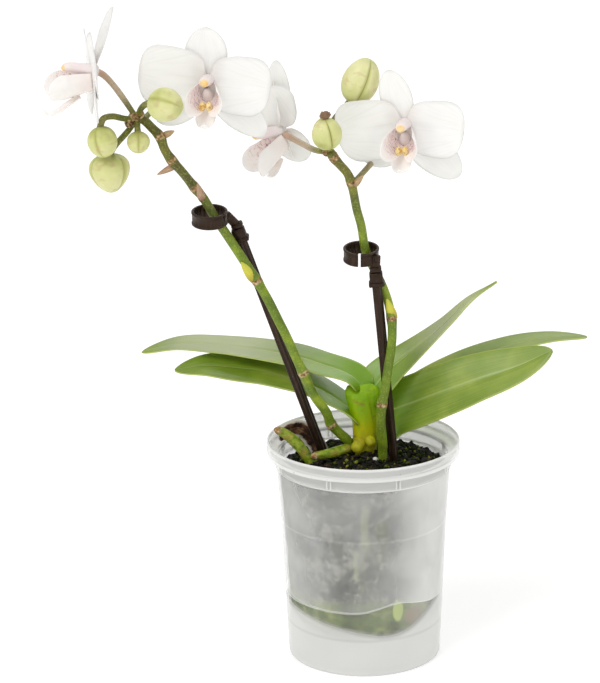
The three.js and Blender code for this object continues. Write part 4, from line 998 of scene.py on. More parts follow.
def petal_finish(settings):
    """White petal, faintly veined from its root; growth z is the side, front or back."""
    f = Finish("petal", {"Specular IOR Level": 0.25, "Roughness": 0.55, "Sheen Weight": 0.06,
                         **flesh(0.22, (1.0, 0.95, 0.85), 0.0025)})
    t, s, side = f.parts(f.growth())
    spread = s * (0.35 + t)
    vein = f.noise(f.vector(t * 1.4, spread * 11.0, side), 1.5, 3.0, 0.3)
    patch = f.noise(f.place(), 0.05, 2.0)
    base = f.mix(f.band(vein, 0.45, 0.75) * 0.2, settings.petal_colour, "dad8d2")
    base = f.mix(f.band(patch, 0.5, 0.75) * 0.3, base, "e0dddc")
    margin = f.band(abs(s), 0.84, 1.0) + f.band(t, 0.92, 1.0)
    base = f.mix(margin * 0.38, base, "c9c8c4")
    # Darker and beige toward the root: partly the petal's own warm tint, partly painted shade near the column
    # and lip.
    near = f.below(t, 0.0, 0.3)
    base = f.mix(near * 0.3, base, "d3c6ba")
    # Painted shade, in greyish pink, on the back face near the root.
    back = f.below(side, -0.2, 0.2)
    base = f.mix(back * f.below(t, 0.1, 0.75) * 0.25, base, "d8c2c8")
    return f.link(base_color=base, normal=f.bump(vein * 0.7 + patch * 0.3, 0.18))


def column_finish():
    """The column: growth x runs from its foot to the anther cap."""
    f = Finish("column", {"Specular IOR Level": 0.35, "Roughness": 0.45,
                          **flesh(0.2, (1.0, 0.9, 0.8), 0.002)})
    t, _, cap = f.parts(f.growth())
    base = f.ramp(t, [(0.0, "efe9e6"), (0.5, "ecdfe0"), (1.0, "f1e6de")])
    gold = f.ramp(f.noise(f.place(), 0.5, 2.0), [(0.3, "f6e0ae"), (0.7, "f2c272")])
    base = f.mix(cap, base, gold)
    return f.link(base_color=base, normal=f.bump(f.noise(f.place(), 0.8, 2.0), 0.15))


def lip_finish(settings):
    """White lip, dusty pink and dotted purple inside its side lobes; growth z is 1 inside, -1 outside."""
    # A faint emission makes the lip glow: painted light that lifts its shaded hollows.
    f = Finish("lip", {"Specular IOR Level": 0.3, "Roughness": 0.48, **flesh(0.2, (1.0, 0.9, 0.85), 0.002),
                       "Emission Color": "fff4ee", "Emission Strength": 0.09})
    t, s, side = f.parts(f.growth())
    inner = f.band(side, 0.1, 0.9)
    white = f.ramp(f.noise(f.place(), 0.15, 2.0), [(0.3, "e6e1de"), (0.7, "eeece8")])
    depth = f.below(t, 0.35, 0.95)
    pink = f.mix(depth * inner * 0.85, white, settings.throat_colour)
    stripes = f.noise(f.vector(t * 14.0, s * 2.0, 0.0), 1.6, 1.0, 0.6)
    dots = f.band(f.noise(f.place(), 0.95, 1.0), 0.58, 0.66) + f.band(stripes, 0.57, 0.64)
    base = f.mix(dots * inner * depth * 0.55, pink, "9c6484")
    blush = (1.0 - inner) * f.below(t, 0.1, 0.7)
    base = f.mix(blush * 0.35, base, "e3cfc9")
    vein = f.noise(f.vector(t * 2.0, s * 8.0, side), 1.5, 3.0)
    return f.link(base_color=base, normal=f.bump(vein, 0.2))


def callus_finish():
    f = Finish("callus", {"Specular IOR Level": 0.4, "Roughness": 0.4})
    spots = f.band(f.noise(f.place(), 0.85, 1.0), 0.55, 0.63)
    gold = f.ramp(f.noise(f.place(), 0.4, 2.0), [(0.3, "f2d27c"), (0.7, "f8e6ac")])
    return f.link(base_color=f.mix(spots * 0.65, gold, "c87a2f"))


def stake_finish(settings):
    f = Finish("stake_plastic", {"Specular IOR Level": 0.35, "Specular Tint": "ffe2cc"})
    place = f.place()
    # Long streaks along the stake, lighter and rougher: partly rubbed wear, partly painted highlights.
    wear_and_highlight = f.noise(f.place((1, 1, 0.12)), 0.6, 4.0)
    grain = f.noise(place, 1.6, 3.0)
    base = f.mix(f.band(wear_and_highlight, 0.45, 0.75) * 0.5, settings.stake_colour, "473429")
    dust = f.band(f.noise(place, 0.6, 4.0), 0.6, 0.75)
    base = f.mix(dust * 0.3, base, "54463d")
    return f.link(base_color=base, roughness=0.32 + 0.3 * wear_and_highlight, normal=f.bump(grain * 0.5 + wear_and_highlight * 0.5, 0.22))


def floor_finish(settings):
    f = Finish("pale_floor", {"Roughness": 0.9, "Specular IOR Level": 0.1, "Emission Strength": 0.28,
                              "Emission Color": (1.0, 1.0, 1.0)})
    tone = f.noise(f.place(), 0.004, 3.0)
    return f.link(base_color=f.mix(tone * 0.4, settings.floor_colour, "f0f0ef"))


# ---------------------------------------------------------------- pieces


def build_pot(settings):
    """The turned wall with its rim, raised floor and drain hole, and the paired ribs of its collar."""
    radius, height = np.array(POT_OUTSIDE + POT_INSIDE).T
    turn = np.linspace(0, 2 * np.pi, POT_SEGMENTS, endpoint=False)[:, None]
    points = np.stack(np.broadcast_arrays(radius * np.cos(turn), radius * np.sin(turn), height), -1)
    skin = Skin()
    rows, columns = points.shape[:2]
    faces = []
    for i in range(rows):
        for j in range(columns):
            a, b = i * columns + j, i * columns + (j + 1) % columns
            k = (i + 1) % rows
            faces.append([a, k * columns + j, k * columns + (j + 1) % columns, b])
    skin.add(points, faces, (0, 0, 0))
    ribs = COLLAR_RIBS
    for pair in range(ribs["pairs"]):
        for side in (-1, 1):
            angle = math.radians(ribs["offset"] + 360 * pair / ribs["pairs"] + side * ribs["spread"])
            out = np.array([math.cos(angle), math.sin(angle), 0])
            reach = ribs["radius"] + ribs["proud"] / 2 - ribs["sunk"] / 2
            middle = out * reach + np.array([0, 0, ribs["middle"]])
            turned_box(skin, (ribs["width"], ribs["proud"] + ribs["sunk"], ribs["height"]), middle,
                       axes_along((0, 0, 1), np.cross((0, 0, 1), out)), bevel=ribs["bevel"])
    return skin.build("frosted_pot", [pot_finish(settings)], "pot")


def pot_inside(z):
    """Radius of the pot's inner face at a height."""
    inside = sorted((h, r) for r, h in POT_INSIDE[9:15])
    return np.interp(z, [h for h, _ in inside], [r for _, r in inside])


def mix_height(x, y):
    """Height of the mix at a place: its mound round the plant, with swells and fine unevenness."""
    away = ((x - PLANT[0]) ** 2 + (y - PLANT[1]) ** 2) / MIX["mound_radius"] ** 2
    rough = 0.9 * math.sin(0.55 * x + 1.1) * math.cos(0.47 * y) + 0.6 * math.sin(1.13 * x - 0.9 * y)
    fine = 1.1 * noise.noise(Vector((x * 0.35, y * 0.35, 3.1))) + 0.6 * noise.noise(Vector((x, y, 7.7)))
    return MIX["level"] + MIX["mound"] * math.exp(-away) + rough + fine - 0.6


def mix_body(skin):
    """The plug of bark: rough top (finish 0), and its side and underside (finish 1)."""
    rings = PLUG["rings"]
    turn = np.linspace(0, 2 * np.pi, PLUG["sectors"], endpoint=False)
    edge = float(pot_inside(PLUG["rim"])) - MIX["wall_gap"] + 1.0
    sides = [(1.0, z) for z in np.linspace(*PLUG["side"], PLUG["rows"])] + PLUG_FOOT
    round_it, up_it = PLUG["lumps"]

    def top_ring(radius):
        across = [(radius * math.cos(angle), radius * math.sin(angle)) for angle in turn]
        return [(x, y, mix_height(x, y)) for x, y in across]

    def side_ring(radius, height):
        out = []
        for angle in turn:
            c, s = math.cos(angle), math.sin(angle)
            lumps = noise.noise(Vector((c * round_it, s * round_it, height * up_it)))
            r = radius - PLUG["rough"] * (0.55 + lumps)
            out.append((r * c, r * s, max(height, MIX["floor"])))
        return out

    top = np.array([top_ring(0.3)] + [top_ring(edge * i / rings) for i in range(1, rings + 1)])
    wall = [top_ring(edge)]
    wall += [side_ring((float(pot_inside(z)) - PLUG["gap"]) * share, z) for share, z in sides]
    wall = np.array(wall)
    skin.grid(top, np.full(top.shape, PLUG["tone"]), wrap=True, ends=(True, False), finish=0)
    skin.grid(wall[::-1], np.full(wall.shape, PLUG["tone"]), wrap=True, ends=(True, False), finish=1)


def on_mix(chance, spread=35.5):
    """A random place on the mix, at most spread from its middle."""
    angle, radius = 2 * math.pi * chance.random(), spread * math.sqrt(chance.random())
    return radius * math.cos(angle), radius * math.sin(angle)


def mix_crumbs(skin, settings):
    """Chips of bark, tufts of moss and a few white grains, scattered over the top."""
    chance = random.Random(17)
    for _ in range(settings.chip_count):
        x, y = on_mix(chance)
        size = [chance.uniform(1.2, 3.6), chance.uniform(0.8, 2.2), chance.uniform(0.4, 1.1)]
        lie = axes_along((chance.uniform(-0.5, 0.5), chance.uniform(-0.5, 0.5), 1),
                         (chance.uniform(-1, 1), chance.uniform(-1, 1), 0))
        centre = (x, y, mix_height(x, y) + 0.3)
        tone = chance.random()
        lump(skin, centre, size, lie, chance, rough=0.35, finish=0, growth=(tone, 0, 0), rings=4, sides=7)
    for _ in range(settings.moss_count):
        x, y = on_mix(chance, 35)
        green = noise.noise(Vector((x * 0.07, y * 0.07, 1.3))) + 0.014 * x + 0.2
        if green < 0.0 and chance.random() < 0.85:
            continue
        size = np.array([1, 1, 0.8]) * chance.uniform(0.4, 1.15)
        centre = (x, y, mix_height(x, y) + chance.uniform(0.2, 1.4))
        tone = chance.random() ** 2
        lie = random_axes(chance)
        lump(skin, centre, size, lie, chance, rough=0.5, finish=2, growth=(tone, 0, 0), rings=3, sides=5)
    for x, y, size in GRIT:
        centre = (x, y, mix_height(x, y) + 1.2)
        lie = random_axes(chance)
        lump(skin, centre, np.array([1, 0.8, 0.7]) * size, lie, chance, rough=0.4, finish=3)


def build_mix(settings):
    skin = Skin()
    mix_body(skin)
    mix_crumbs(skin, settings)
    finishes = [bark_finish(settings), mix_side_finish(), moss_finish(settings), pebble_finish()]
    return skin.build("bark_and_moss", finishes, "growing_mix")


def crown_at(height, turn, off=0.0):
    """A point of the crown's skin at a height and a turn in degrees, moved outward by off."""
    levels = np.array(CROWN_LEVELS, float)
    x, y, across, deep = [np.interp(height, levels[:, 0], levels[:, k]) for k in (1, 2, 3, 4)]
    angle = np.radians(turn)
    return np.stack([x + (across + off) * np.cos(angle), y + (deep + off) * np.sin(angle), height], -1)


def build_crown():
    """The short stem in its clasping leaf bases, with two root knobs at its foot."""
    skin = Skin()
    foot, top = CROWN_LEVELS[0][0], CROWN_LEVELS[-1][0]
    height = np.concatenate([np.linspace(foot, 126, 84), np.linspace(126.3, top, 6)])[:, None]
    turn = np.linspace(-270, 90, 120, endpoint=False)[None]
    off = np.zeros(np.broadcast(height, turn).shape)
    for clasp in CLASPS:
        first, last = clasp["turn"]
        margin = first + (last - first) * smooth_step(*CLASP_SPAN, height) ** 0.8
        fade = smooth_step(97, 103, height) * smooth_step(90, 40, np.abs(turn - margin))
        off = off + clasp["off"] * (smooth_step(-3, 3, turn - margin) - 0.5) * fade
    grid = crown_at(*np.broadcast_arrays(height, turn), off)
    toward = smooth_step(*CROWN_DIP["fade"], np.abs(turn - CROWN_DIP["turn"]))
    grid[..., 2] -= CROWN_DIP["deep"] * smooth_step(CROWN_DIP["from"], top, height) * toward
    skin.grid(grid, np.zeros_like(grid), wrap=True, ends=(True, True))
    for knob in ROOT_KNOBS:
        radius = knob["radius"]
        tube(skin, Line(knob["line"]), lambda t, angle: radius * np.sqrt(np.maximum(1 - t**6, 0.03)), 24, 24)
    return skin.build("crown_of_leaf_bases", [crown_finish()], "crown")


def build_leaves(settings):
    """The five leaves, each with its grooved midrib and slightly waved margins."""
    finish = leaf_finish(settings)
    for index, (name, leaf) in enumerate(LEAVES.items()):
        skin = Skin()
        base, tip = [unit(f) for f in leaf["faces"]]

        def face_at(t, base=base, tip=tip):
            return unit(base + (tip - base) * min(1.6 * t, 1))

        def fold_at(t, fold=leaf["fold"]):
            return fold + 0.4 * peak(t, 0.1)

        def ripple(t, s, phase=index, rib=leaf.get("rib", 0.0)):
            groove = LEAF_RELIEF["groove"] * peak(s - rib * (1 - t), LEAF_RELIEF["groove_width"])
            groove = groove * smooth_step(0.02, 0.2, t) * smooth_step(1, 0.8, t)
            wave = LEAF_RELIEF["wave"] * np.abs(s) ** 3 * np.sin(7 * t + 2.1 * phase + 1.3 * np.sign(s))
            return wave - groove

        blade(skin, Line(leaf["line"]), {**LEAF_FORM, **leaf}, face_at, fold_at, settings.leaf_thickness / MM,
              72, 28, ripple, edge=LEAF_RELIEF["edge"], tint=leaf.get("tint", 1.0))
        skin.build(f"{name}_blade", [finish], name)


def build_roots():
    """The two green stubs of root, with dry, corky ends."""
    finish = root_finish()
    for name, root in ROOTS.items():
        skin = Skin()

        def radius_at(t, angle, radius=root["radius"]):
            knots = 1 + 0.05 * np.sin(11 * t + 2) + 0.03 * np.sin(3 * angle + 8 * t)
            return radius * 0.96 * (1 - 0.1 * t) * np.sqrt(np.maximum(1 - t**14, 0.1)) * knots

        tube(skin, Line(root["line"]), radius_at, 24, 60)
        skin.build(f"{name}_stub", [finish], name)


def build_husk():
    """The dry leaf base that curls over the mix."""
    skin = Skin()

    def ripple(t, s):
        return 0.5 * np.sin(9 * t + 4 * s) * np.abs(s)

    blade(skin, Line(HUSK["line"]), HUSK, lambda t: HUSK["face"], HUSK["cup"], HUSK["thickness"], 36, 20,
          ripple)
    return skin.build("dry_leaf_base", [husk_finish()], "dry_husk")


def stem_skin(skin, spike):
    """The main stem, thicker at its joints; growth gives nearness to a joint and the height."""
    line = Line(spike["line"])
    joints = np.array([line.share_of(spike["line"][k]) * line.length for k in spike["joints"]])
    first, last = spike["radius"]

    def joint_away(t):
        run = np.asarray(t)[..., None] * line.length
        return np.min(np.abs(run - joints), axis=-1)

    def radius_at(t, angle):
        lumps = 0.04 * np.sin(3 * angle + 40 * t) + 0.05 * np.sin(angle * 2 + 9)
        return first + (last - first) * t + 0.42 * peak(joint_away(t), 2.6) + lumps - 0.04

    def growth_at(t, angle, points):
        height = smooth_step(150, 262, points[..., 2])
        return np.stack([peak(joint_away(t), 1.5), height, np.zeros_like(t)], -1)

    tube(skin, line, radius_at, 20, int(line.length / 0.8), growth_at)


def stalk_skin(skin, name, points):
    """The short stalk of a flower or bud, paler toward a flower."""
    line = Line(points)
    pale = 1.0 if name.startswith("flower") else 0.22

    def radius_at(t, angle):
        return 1.28 + 0.22 * t + 0.04 * np.sin(2 * angle + 12 * t)

    def growth_at(t, angle, points):
        foot = peak(t * line.length, 1.6)
        return np.stack([foot, np.full_like(t, 0.75), pale * t], -1)

    tube(skin, line, radius_at, 16, max(12, int(line.length / 0.7)), growth_at)


def bract_skin(skin, bract):
    """A scale that clasps the stem, lifted at its middle."""
    a, b = np.array(bract["ends"], float)
    middle = (a + b) / 2 + np.array([0, -bract["lift"], 0])
    form = {"half": bract["width"] / 2, "root": 0.8, "widest": 0.25, "tip": 1.5}
    blade(skin, Line([a, middle, b]), form, lambda t: (0, -1, 0.2), -0.55, 0.55, 18, 12, finish=1,
          tint=bract["fresh"])


def build_spikes(settings):
    """The two stems with their stalks, scales and knobs."""
    finishes = [spike_finish(settings), bract_finish()]
    for name, spike in SPIKES.items():
        skin = Skin()
        chance = random.Random(5)
        stem_skin(skin, spike)
        for stalk, points in spike["stalks"].items():
            stalk_skin(skin, stalk, points)
        for bract in spike["bracts"]:
            bract_skin(skin, bract)
        for x, y, z, r in spike["knobs"]:
            lump(skin, (x, y, z), np.full(3, r * 0.97), np.eye(3), chance, rough=0.08, growth=(0.9, 1, 0),
                 rings=9, sides=14)
        skin.build(f"{name}_stem", finishes, name)


def bud_skin(skin, bud):
    """A closed bud with three seams."""
    base, tip = np.array(bud["base"], float), np.array(bud["tip"], float)
    line = Line([base + (tip - base) * k for k in (0, 0.33, 0.67, 1)])
    turn = math.radians(bud["turn"])
    shares = 0.5 - 0.5 * np.cos(np.pi * np.linspace(0.02, 0.985, 49))

    def seam_at(angle):
        return np.abs(np.cos(1.5 * (angle + turn)))

    def radius_at(t, angle):
        outline = np.sqrt(np.maximum(1 - (2 * t - 1) ** 2, 0.0)) * (1.04 - bud.get("skew", 0.12) * (t - 0.45))
        groove = 0.1 * peak(seam_at(angle), 0.16) * smooth_step(0.05, 0.3, t)
        plump = 0.05 * seam_at(angle) ** 0.7
        return bud["radius"] * outline * (0.955 + plump - groove)

    def growth_at(t, angle, points):
        return np.stack([t, 1 - np.clip(seam_at(angle) / 0.35, 0, 1), np.full_like(t, bud["tone"])], -1)

    tube(skin, line, radius_at, 60, 48, growth_at, shares=shares)


def scale_skin(skin, middle):
    """The dry scrap on a bud's end, in the bracts' finish."""
    chance = random.Random(4)
    for x, y, size in SCALE_CRUMBS:
        centre = np.array(middle) + (x, y, 0.4 * size)
        lie = random_axes(chance)
        lump(skin, centre, np.array([0.9, 0.9, 1.1]) * size, lie, chance, rough=0.35, finish=1,
             growth=(0.12, 0.5, 0), rings=6, sides=9)


def build_buds(settings):
    finishes = [bud_finish(settings), bract_finish()]
    for name, bud in BUDS.items():
        skin = Skin()
        bud_skin(skin, bud)
        if "scale" in bud:
            scale_skin(skin, bud["scale"])
        skin.build(f"{name}_closed", finishes, name)


def flower_place(flower):
    """The turn and place that take the flower's own frame (right, up, front) to the plant's."""
    front = unit(flower["facing"])
    right = unit(np.cross((0, 0, 1), front))
    axes = np.array([right, np.cross(front, right), front])
    centre = np.array(flower["centre"], float)
    return lambda grid: np.asarray(grid, float) @ axes + centre


def placed_axes(place):
    """The plant's directions that a flower's own right, up and front take."""
    return np.array([place([way])[0] - place([(0, 0, 0)])[0] for way in np.eye(3)])


def tepal_line(tepal, steps=5):
    """The middle line of a petal or sepal in the flower's own frame."""
    angle = math.radians(tepal["angle"])
    out = np.array([math.cos(angle), math.sin(angle), 0])
    point = out * 0.8 + np.array([0, 0, tepal["offset"]])
    line = [point.copy()]
    step = tepal["length"] / steps
    for i in range(steps):
        tilt = math.radians(tepal["lift"] + tepal["curl"] * (i + 0.5) / steps)
        point = point + out * math.cos(tilt) * step + np.array([0, 0, math.sin(tilt) * step])
        line.append(point.copy())
    return line


def tepal_skin(skin, tepal, place, seed):
    """A petal or sepal with a soft keel and a waved edge; the petals are the broad ones."""
    form = {**tepal, "half": tepal["width"] / 2}
    broad = tepal["width"] > 22
    strength, columns = (0.5, 28) if broad else (0.25, 18)

    def ripple(t, s):
        keel = -0.25 * peak(s, 0.12) * smooth_step(0.9, 0.4, t)
        wave = strength * np.abs(s) ** 2.5 * np.sin(5.2 * t + 1.7 * np.sign(s) + seed)
        return (wave + keel) * smooth_step(0.0, 0.3, t)

    face = tepal.get("face", (0, 0, 1))
    blade(skin, Line(tepal_line(tepal)), form, lambda t: face, tepal["cup"], TEPAL_THICKNESS, 40, columns,
          ripple, edge=0.45, place=place)


def build_petals(name, flower, finishes):
    """The flower's three sepals, two petals, column and the hub they share."""
    skin = Skin()
    place = flower_place(flower)
    for index, key in enumerate(TEPALS):
        tepal_skin(skin, {**TEPALS[key], **flower["tepals"].get(key, {})}, place, index * 1.9)
    line = Line(place(COLUMN["line"]))
    first, last = COLUMN["radius"]

    def radius_at(t, angle):
        tip = np.sqrt(np.maximum(1 - t**10, 0.05))
        return (first + (last - first) * t) * tip * (1 + 0.06 * np.cos(2 * angle))

    def growth_at(t, angle, points):
        return np.stack([t, angle / (2 * np.pi), smooth_step(0.88, 0.96, t)], -1)

    tube(skin, line, radius_at, 28, 36, growth_at, finish=1)
    lump(skin, place([HUB["at"]])[0], np.array(HUB["size"]), placed_axes(place), random.Random(3), rough=0.0,
         growth=(0.02, 0, -1), rings=9, sides=20)
    return skin.build(f"{name}_petals_and_column", finishes, f"{name}_petals")


def lip_cup(skin, place):
    """The two side lobes, which stand up beside the column and join below it in one open cup."""
    cup = LIP["cup"]
    turn = np.linspace(-1, 1, 61)
    angle = np.radians(cup["turn"]) * turn
    bottom, side = cup["front"]
    middle, reach = cup["lobe"]
    lobe = np.sqrt(np.maximum(1 - ((np.abs(turn) - middle) / reach) ** 2, 0.0))
    front = bottom + (side - bottom) * lobe
    share = np.linspace(0, 1, 33)[:, None]
    z = cup["back"] + share * (front[None] - cup["back"])
    open_by = (z / side) ** 0.75
    across, down = [narrow + (wide - narrow) * open_by
                    for narrow, wide in (cup["half_width"], cup["half_height"])]
    wave = 0.25 * np.sin(5 * angle[None]) * smooth_step(0.7, 1.0, share)
    x = (across + wave) * np.sin(angle)[None]
    y = cup["centre"] - (down + wave) * np.cos(angle)[None]
    grid = place(np.stack([x, y, np.broadcast_to(z, x.shape)], -1))
    tt, ss = np.broadcast_arrays(z / side, turn[None])

    def growth_side(face):
        return np.stack([tt, ss, np.full_like(tt, float(face))], -1)

    sheet(skin, grid, 0.6, growth_side, 0.5)


def lip_tongue(skin, place, share):
    """The middle lobe; share is how much of its full length this flower's has."""
    tongue = LIP["tongue"]
    points = np.array(tongue["line"], float)
    points = points[0] + share * (points - points[0])
    blade(skin, Line(points), tongue, lambda t: tongue["face"], tongue["cup"], TEPAL_THICKNESS, 36, 18,
          edge=0.5, place=place, tint=0.0)


def build_lip(name, flower, finishes):
    """The lip with its lobes, its foot and the pair of calluses between the lobes."""
    skin = Skin()
    droop = math.radians(flower.get("droop", 0))
    c, s = math.cos(droop), math.sin(droop)
    hang = np.array([(1, 0, 0), (0, c, s), (0, -s, c)])
    whole = flower_place(flower)

    def place(grid):
        return whole(np.asarray(grid, float) @ hang)

    axes = placed_axes(place)
    chance = random.Random(9)
    lip_cup(skin, place)
    lip_tongue(skin, place, flower.get("tongue", 1))
    foot, callus = LIP["foot"], LIP["callus"]
    lump(skin, place([foot["at"]])[0], np.array(foot["size"]), axes, chance, rough=0.0, growth=(0.3, 0, 0),
         rings=9, sides=18)
    for side in (-1, 1):
        centre = place([np.array(callus["at"]) * (side, 1, 1)])[0]
        lump(skin, centre, np.array(callus["size"]), axes, chance, rough=0.06, finish=1, rings=11, sides=18)
    return skin.build(f"{name}_lobes_and_callus", finishes, f"{name}_lip")


def build_flowers(settings):
    petals = [petal_finish(settings), column_finish()]
    lips = [lip_finish(settings), callus_finish()]
    for name, flower in FLOWERS.items():
        build_petals(name, flower, petals)
        build_lip(name, flower, lips)


def build_stake(name, finish):
    """A fluted stake with its pointed foot in the mix, and the block and collar of its head."""
    stake = STAKES[name]
    skin = Skin()
    foot, head = np.array(stake["foot"], float), np.array(stake["head"], float)
    line = Line([foot + (head - foot) * k for k in (0, 0.07, 0.5, 1)])

    def radius_at(t, angle):
        point = np.minimum(t * line.length / STAKE["point"] + 0.2, 1)
        flute = STAKE["ridge"] * np.sign(np.cos(4 * angle)) * np.abs(np.cos(4 * angle)) ** 0.6
        return (STAKE["radius"] + flute) * point

    tube(skin, line, radius_at, 64, 60)
    axes = axes_along(head - foot)
    block, collar = STAKE["block"], STAKE["collar"]
    down = unit(foot - head)
    turned_box(skin, block, head + down * block[2] / 2, axes, bevel=0.5)
    turned_box(skin, collar, head + down * block[2], axes, bevel=0.4)
    return skin.build(f"{name}_ridged", [finish], name)


def clip_ring(skin, centre, outward):
    """The split ring: a band with a flange along its upper and lower edges, and teeth inside."""
    turn = math.atan2(outward[1], outward[0]) - math.radians(CLIP["slit_turn"])
    opening = CLIP["slit"] / CLIP["outer"]
    angles = turn + np.linspace(opening / 2, 2 * math.pi - opening / 2, 121)
    outer, inner, half = CLIP["outer"], CLIP["inner"], CLIP["height"] / 2
    cut, flange, groove = CLIP["chamfer"], CLIP["flange"], outer - CLIP["step"]
    outside = [(outer - cut, -half), (outer, -half + cut), (outer, -half + flange),
               (groove, -half + flange + cut)]
    outside += [(r, -z) for r, z in reversed(outside)]
    inside = [(inner + cut, half), (inner, half - cut), (inner, -half + cut), (inner + cut, -half)]
    lean = math.radians(CLIP["lean"])
    points = []
    for k, angle in enumerate(angles):
        teeth = CLIP["teeth"] * ((k // 3) % 2)
        row = []
        for r, z in outside + [(r + teeth, z) for r, z in inside]:
            x, y = r * math.cos(angle), r * math.sin(angle)
            row.append((x, y * math.cos(lean) - z * math.sin(lean), y * math.sin(lean) + z * math.cos(lean)))
        points.append(row)
    grid = np.array(points) + np.array(centre, float)
    skin.grid(grid, np.zeros_like(grid), wrap=True, ends=(True, True))


def build_clip(name, finish):
    """A split ring round the stem, and the neck and cap that hold it on the stake's head."""
    clip = CLIPS[name]
    stake = STAKES[clip["stake"]]
    skin = Skin()
    centre, head, foot = (np.array(p, float) for p in (clip["centre"], stake["head"], stake["foot"]))
    outward = unit((head - centre) * np.array([1, 1, 0]))
    clip_ring(skin, centre, outward)
    start = centre + outward * (CLIP["inner"] + CLIP["neck_gap"])
    end = head + np.array([0, 0, CLIP["cap_rise"]])
    along, stake_way = end - start, head - foot
    neck = (*CLIP["neck"], np.linalg.norm(along) + 1)
    turned_box(skin, neck, (start + end) / 2, axes_along(along), bevel=0.5)
    turned_box(skin, CLIP["cap"], end + unit(stake_way) * 0.2, axes_along(stake_way), bevel=0.5)
    turned_box(skin, CLIP["knuckle"], start + unit(along) * 1.2, axes_along(along), bevel=0.6)
    return skin.build(f"{name}_ring", [finish], name)


# ---------------------------------------------------------------- stage and camera

CAMERA = {"place": (0.0, -1.20819, 0.5149), "pitch": 16.714, "yaw": -1.364, "roll": -0.7785,
          "focal_pixels": 2738.7, "image": (600, 683), "sensor": 36.0, "nearest": 0.05}
LIGHTS = {
    "key": {"place": (-1.2, -1.2, 2.1), "size": 1.3, "share": 1.0},
    "fill": {"place": (1.5, -1.3, 1.1), "size": 1.5, "share": 0.3},
    "back": {"place": (0.4, 1.5, 1.9), "size": 1.2, "share": 0.4},
}
LIGHTS_AIM = (0, 0, 0.16)
FLOOR_REACH = 6.0


def from_stand(place):
    """A place in metres, measured from the pot's foot."""
    return Vector(place) + Vector(STAND) * MM


def build_camera():
    pitch, yaw, roll = (math.radians(CAMERA[k]) for k in ("pitch", "yaw", "roll"))
    right = np.array([math.cos(yaw), -math.sin(yaw), 0])
    ahead = np.array([math.sin(yaw) * math.cos(pitch), math.cos(yaw) * math.cos(pitch), -math.sin(pitch)])
    up = np.cross(right, ahead)
    turned_right = math.cos(roll) * right + math.sin(roll) * up
    turned_up = -math.sin(roll) * right + math.cos(roll) * up
    data = bpy.data.cameras.new("photo_camera")
    data.sensor_width = CAMERA["sensor"]
    data.lens = CAMERA["focal_pixels"] * CAMERA["sensor"] / max(CAMERA["image"])
    data.clip_start = CAMERA["nearest"]
    camera = bpy.data.objects.new("photo_camera", data)
    bpy.context.scene.collection.objects.link(camera)
    columns = np.array([turned_right, turned_up, -ahead]).T
    camera.matrix_world = Matrix.Translation(from_stand(CAMERA["place"])) @ Matrix(columns.tolist()).to_4x4()
    bpy.context.scene.camera = camera


def build_lights(settings):
    for name, light in LIGHTS.items():
        data = bpy.data.lights.new(name, "AREA")
        data.size = light["size"]
        data.energy = settings.key_power * light["share"]
        lamp = bpy.data.objects.new(name, data)
        lamp.location = from_stand(light["place"])
        way = Vector(LIGHTS_AIM) - Vector(light["place"])
        lamp.rotation_euler = way.to_track_quat("-Z", "Y").to_euler()
        bpy.context.scene.collection.objects.link(lamp)
    world = bpy.data.worlds.new("studio")
    world.use_nodes = True
    sky = world.node_tree.nodes["Background"]
    sky.inputs["Color"].default_value = (1, 1, 1, 1)
    sky.inputs["Strength"].default_value = settings.sky_strength
    bpy.context.scene.world = world
    bpy.context.scene.view_settings.view_transform = "Standard"


def build_floor(settings):
    mesh = bpy.data.meshes.new("pale_floor")
    corners = [(FLOOR_REACH * x, FLOOR_REACH * y, 0) for x, y in ((-1, -1), (1, -1), (1, 1), (-1, 1))]
    mesh.from_pydata(corners, [], [(0, 1, 2, 3)])
    mesh.materials.append(floor_finish(settings))
    floor = bpy.data.objects.new("pale_floor", mesh)
    bpy.context.scene.collection.objects.link(floor)


# ---------------------------------------------------------------- settings


def colour_property(name, description, code):
    return bpy.props.FloatVectorProperty(
        name=name, description=description, subtype="COLOR", size=3, min=0, max=1, default=colour(code))


class PotSettings(bpy.types.PropertyGroup):
    colour: colour_property("Plastic", "Colour of the frosted plastic", "efefec")
    haze: bpy.props.FloatProperty(
        name="Haze", description="How milky one face of the wall is above the haze line", default=0.17,
        min=0, max=1, subtype="FACTOR")


class MixSettings(bpy.types.PropertyGroup):
    bark_colour: colour_property("Bark", "Colour of the damp bark", "17100b")
    moss_colour: colour_property("Moss", "Colour of the moss", "2c3810")
    chip_count: bpy.props.IntProperty(
        name="Chips", description="Number of small bark chips on the surface", default=420, min=0)
    moss_count: bpy.props.IntProperty(
        name="Moss", description="Number of moss crumbs tried on the surface", default=1500, min=0)


class PlantSettings(bpy.types.PropertyGroup):
    leaf_colour: colour_property("Leaf", "Colour of the leaves' upper faces", "768f20")
    leaf_thickness: bpy.props.FloatProperty(
        name="Leaf thickness", description="Thickness of a leaf at its middle", default=1.4 * MM,
        min=0.5 * MM, max=1.5 * MM, unit="LENGTH")
    stem_colour: colour_property("Stem", "Colour of the flower stems", "698010")
    bud_colour: colour_property("Bud", "Colour of the closed buds", "cbce88")
    petal_colour: colour_property("Petal", "Colour of the petals and sepals", "f3f2ee")
    throat_colour: colour_property("Throat", "Tint inside the lip", "efe0dc")


class StakeSettings(bpy.types.PropertyGroup):
    stake_colour: colour_property("Plastic", "Colour of the stakes and clips", "22160f")


class StageSettings(bpy.types.PropertyGroup):
    floor_colour: colour_property("Floor", "Colour of the plain floor", "f2f2f2")
    key_power: bpy.props.FloatProperty(
        name="Key light", description="Power of the main soft light", default=26.0, min=0, unit="POWER")
    sky_strength: bpy.props.FloatProperty(
        name="Sky", description="Strength of the even light from all round", default=0.6, min=0)


# ---------------------------------------------------------------- operators


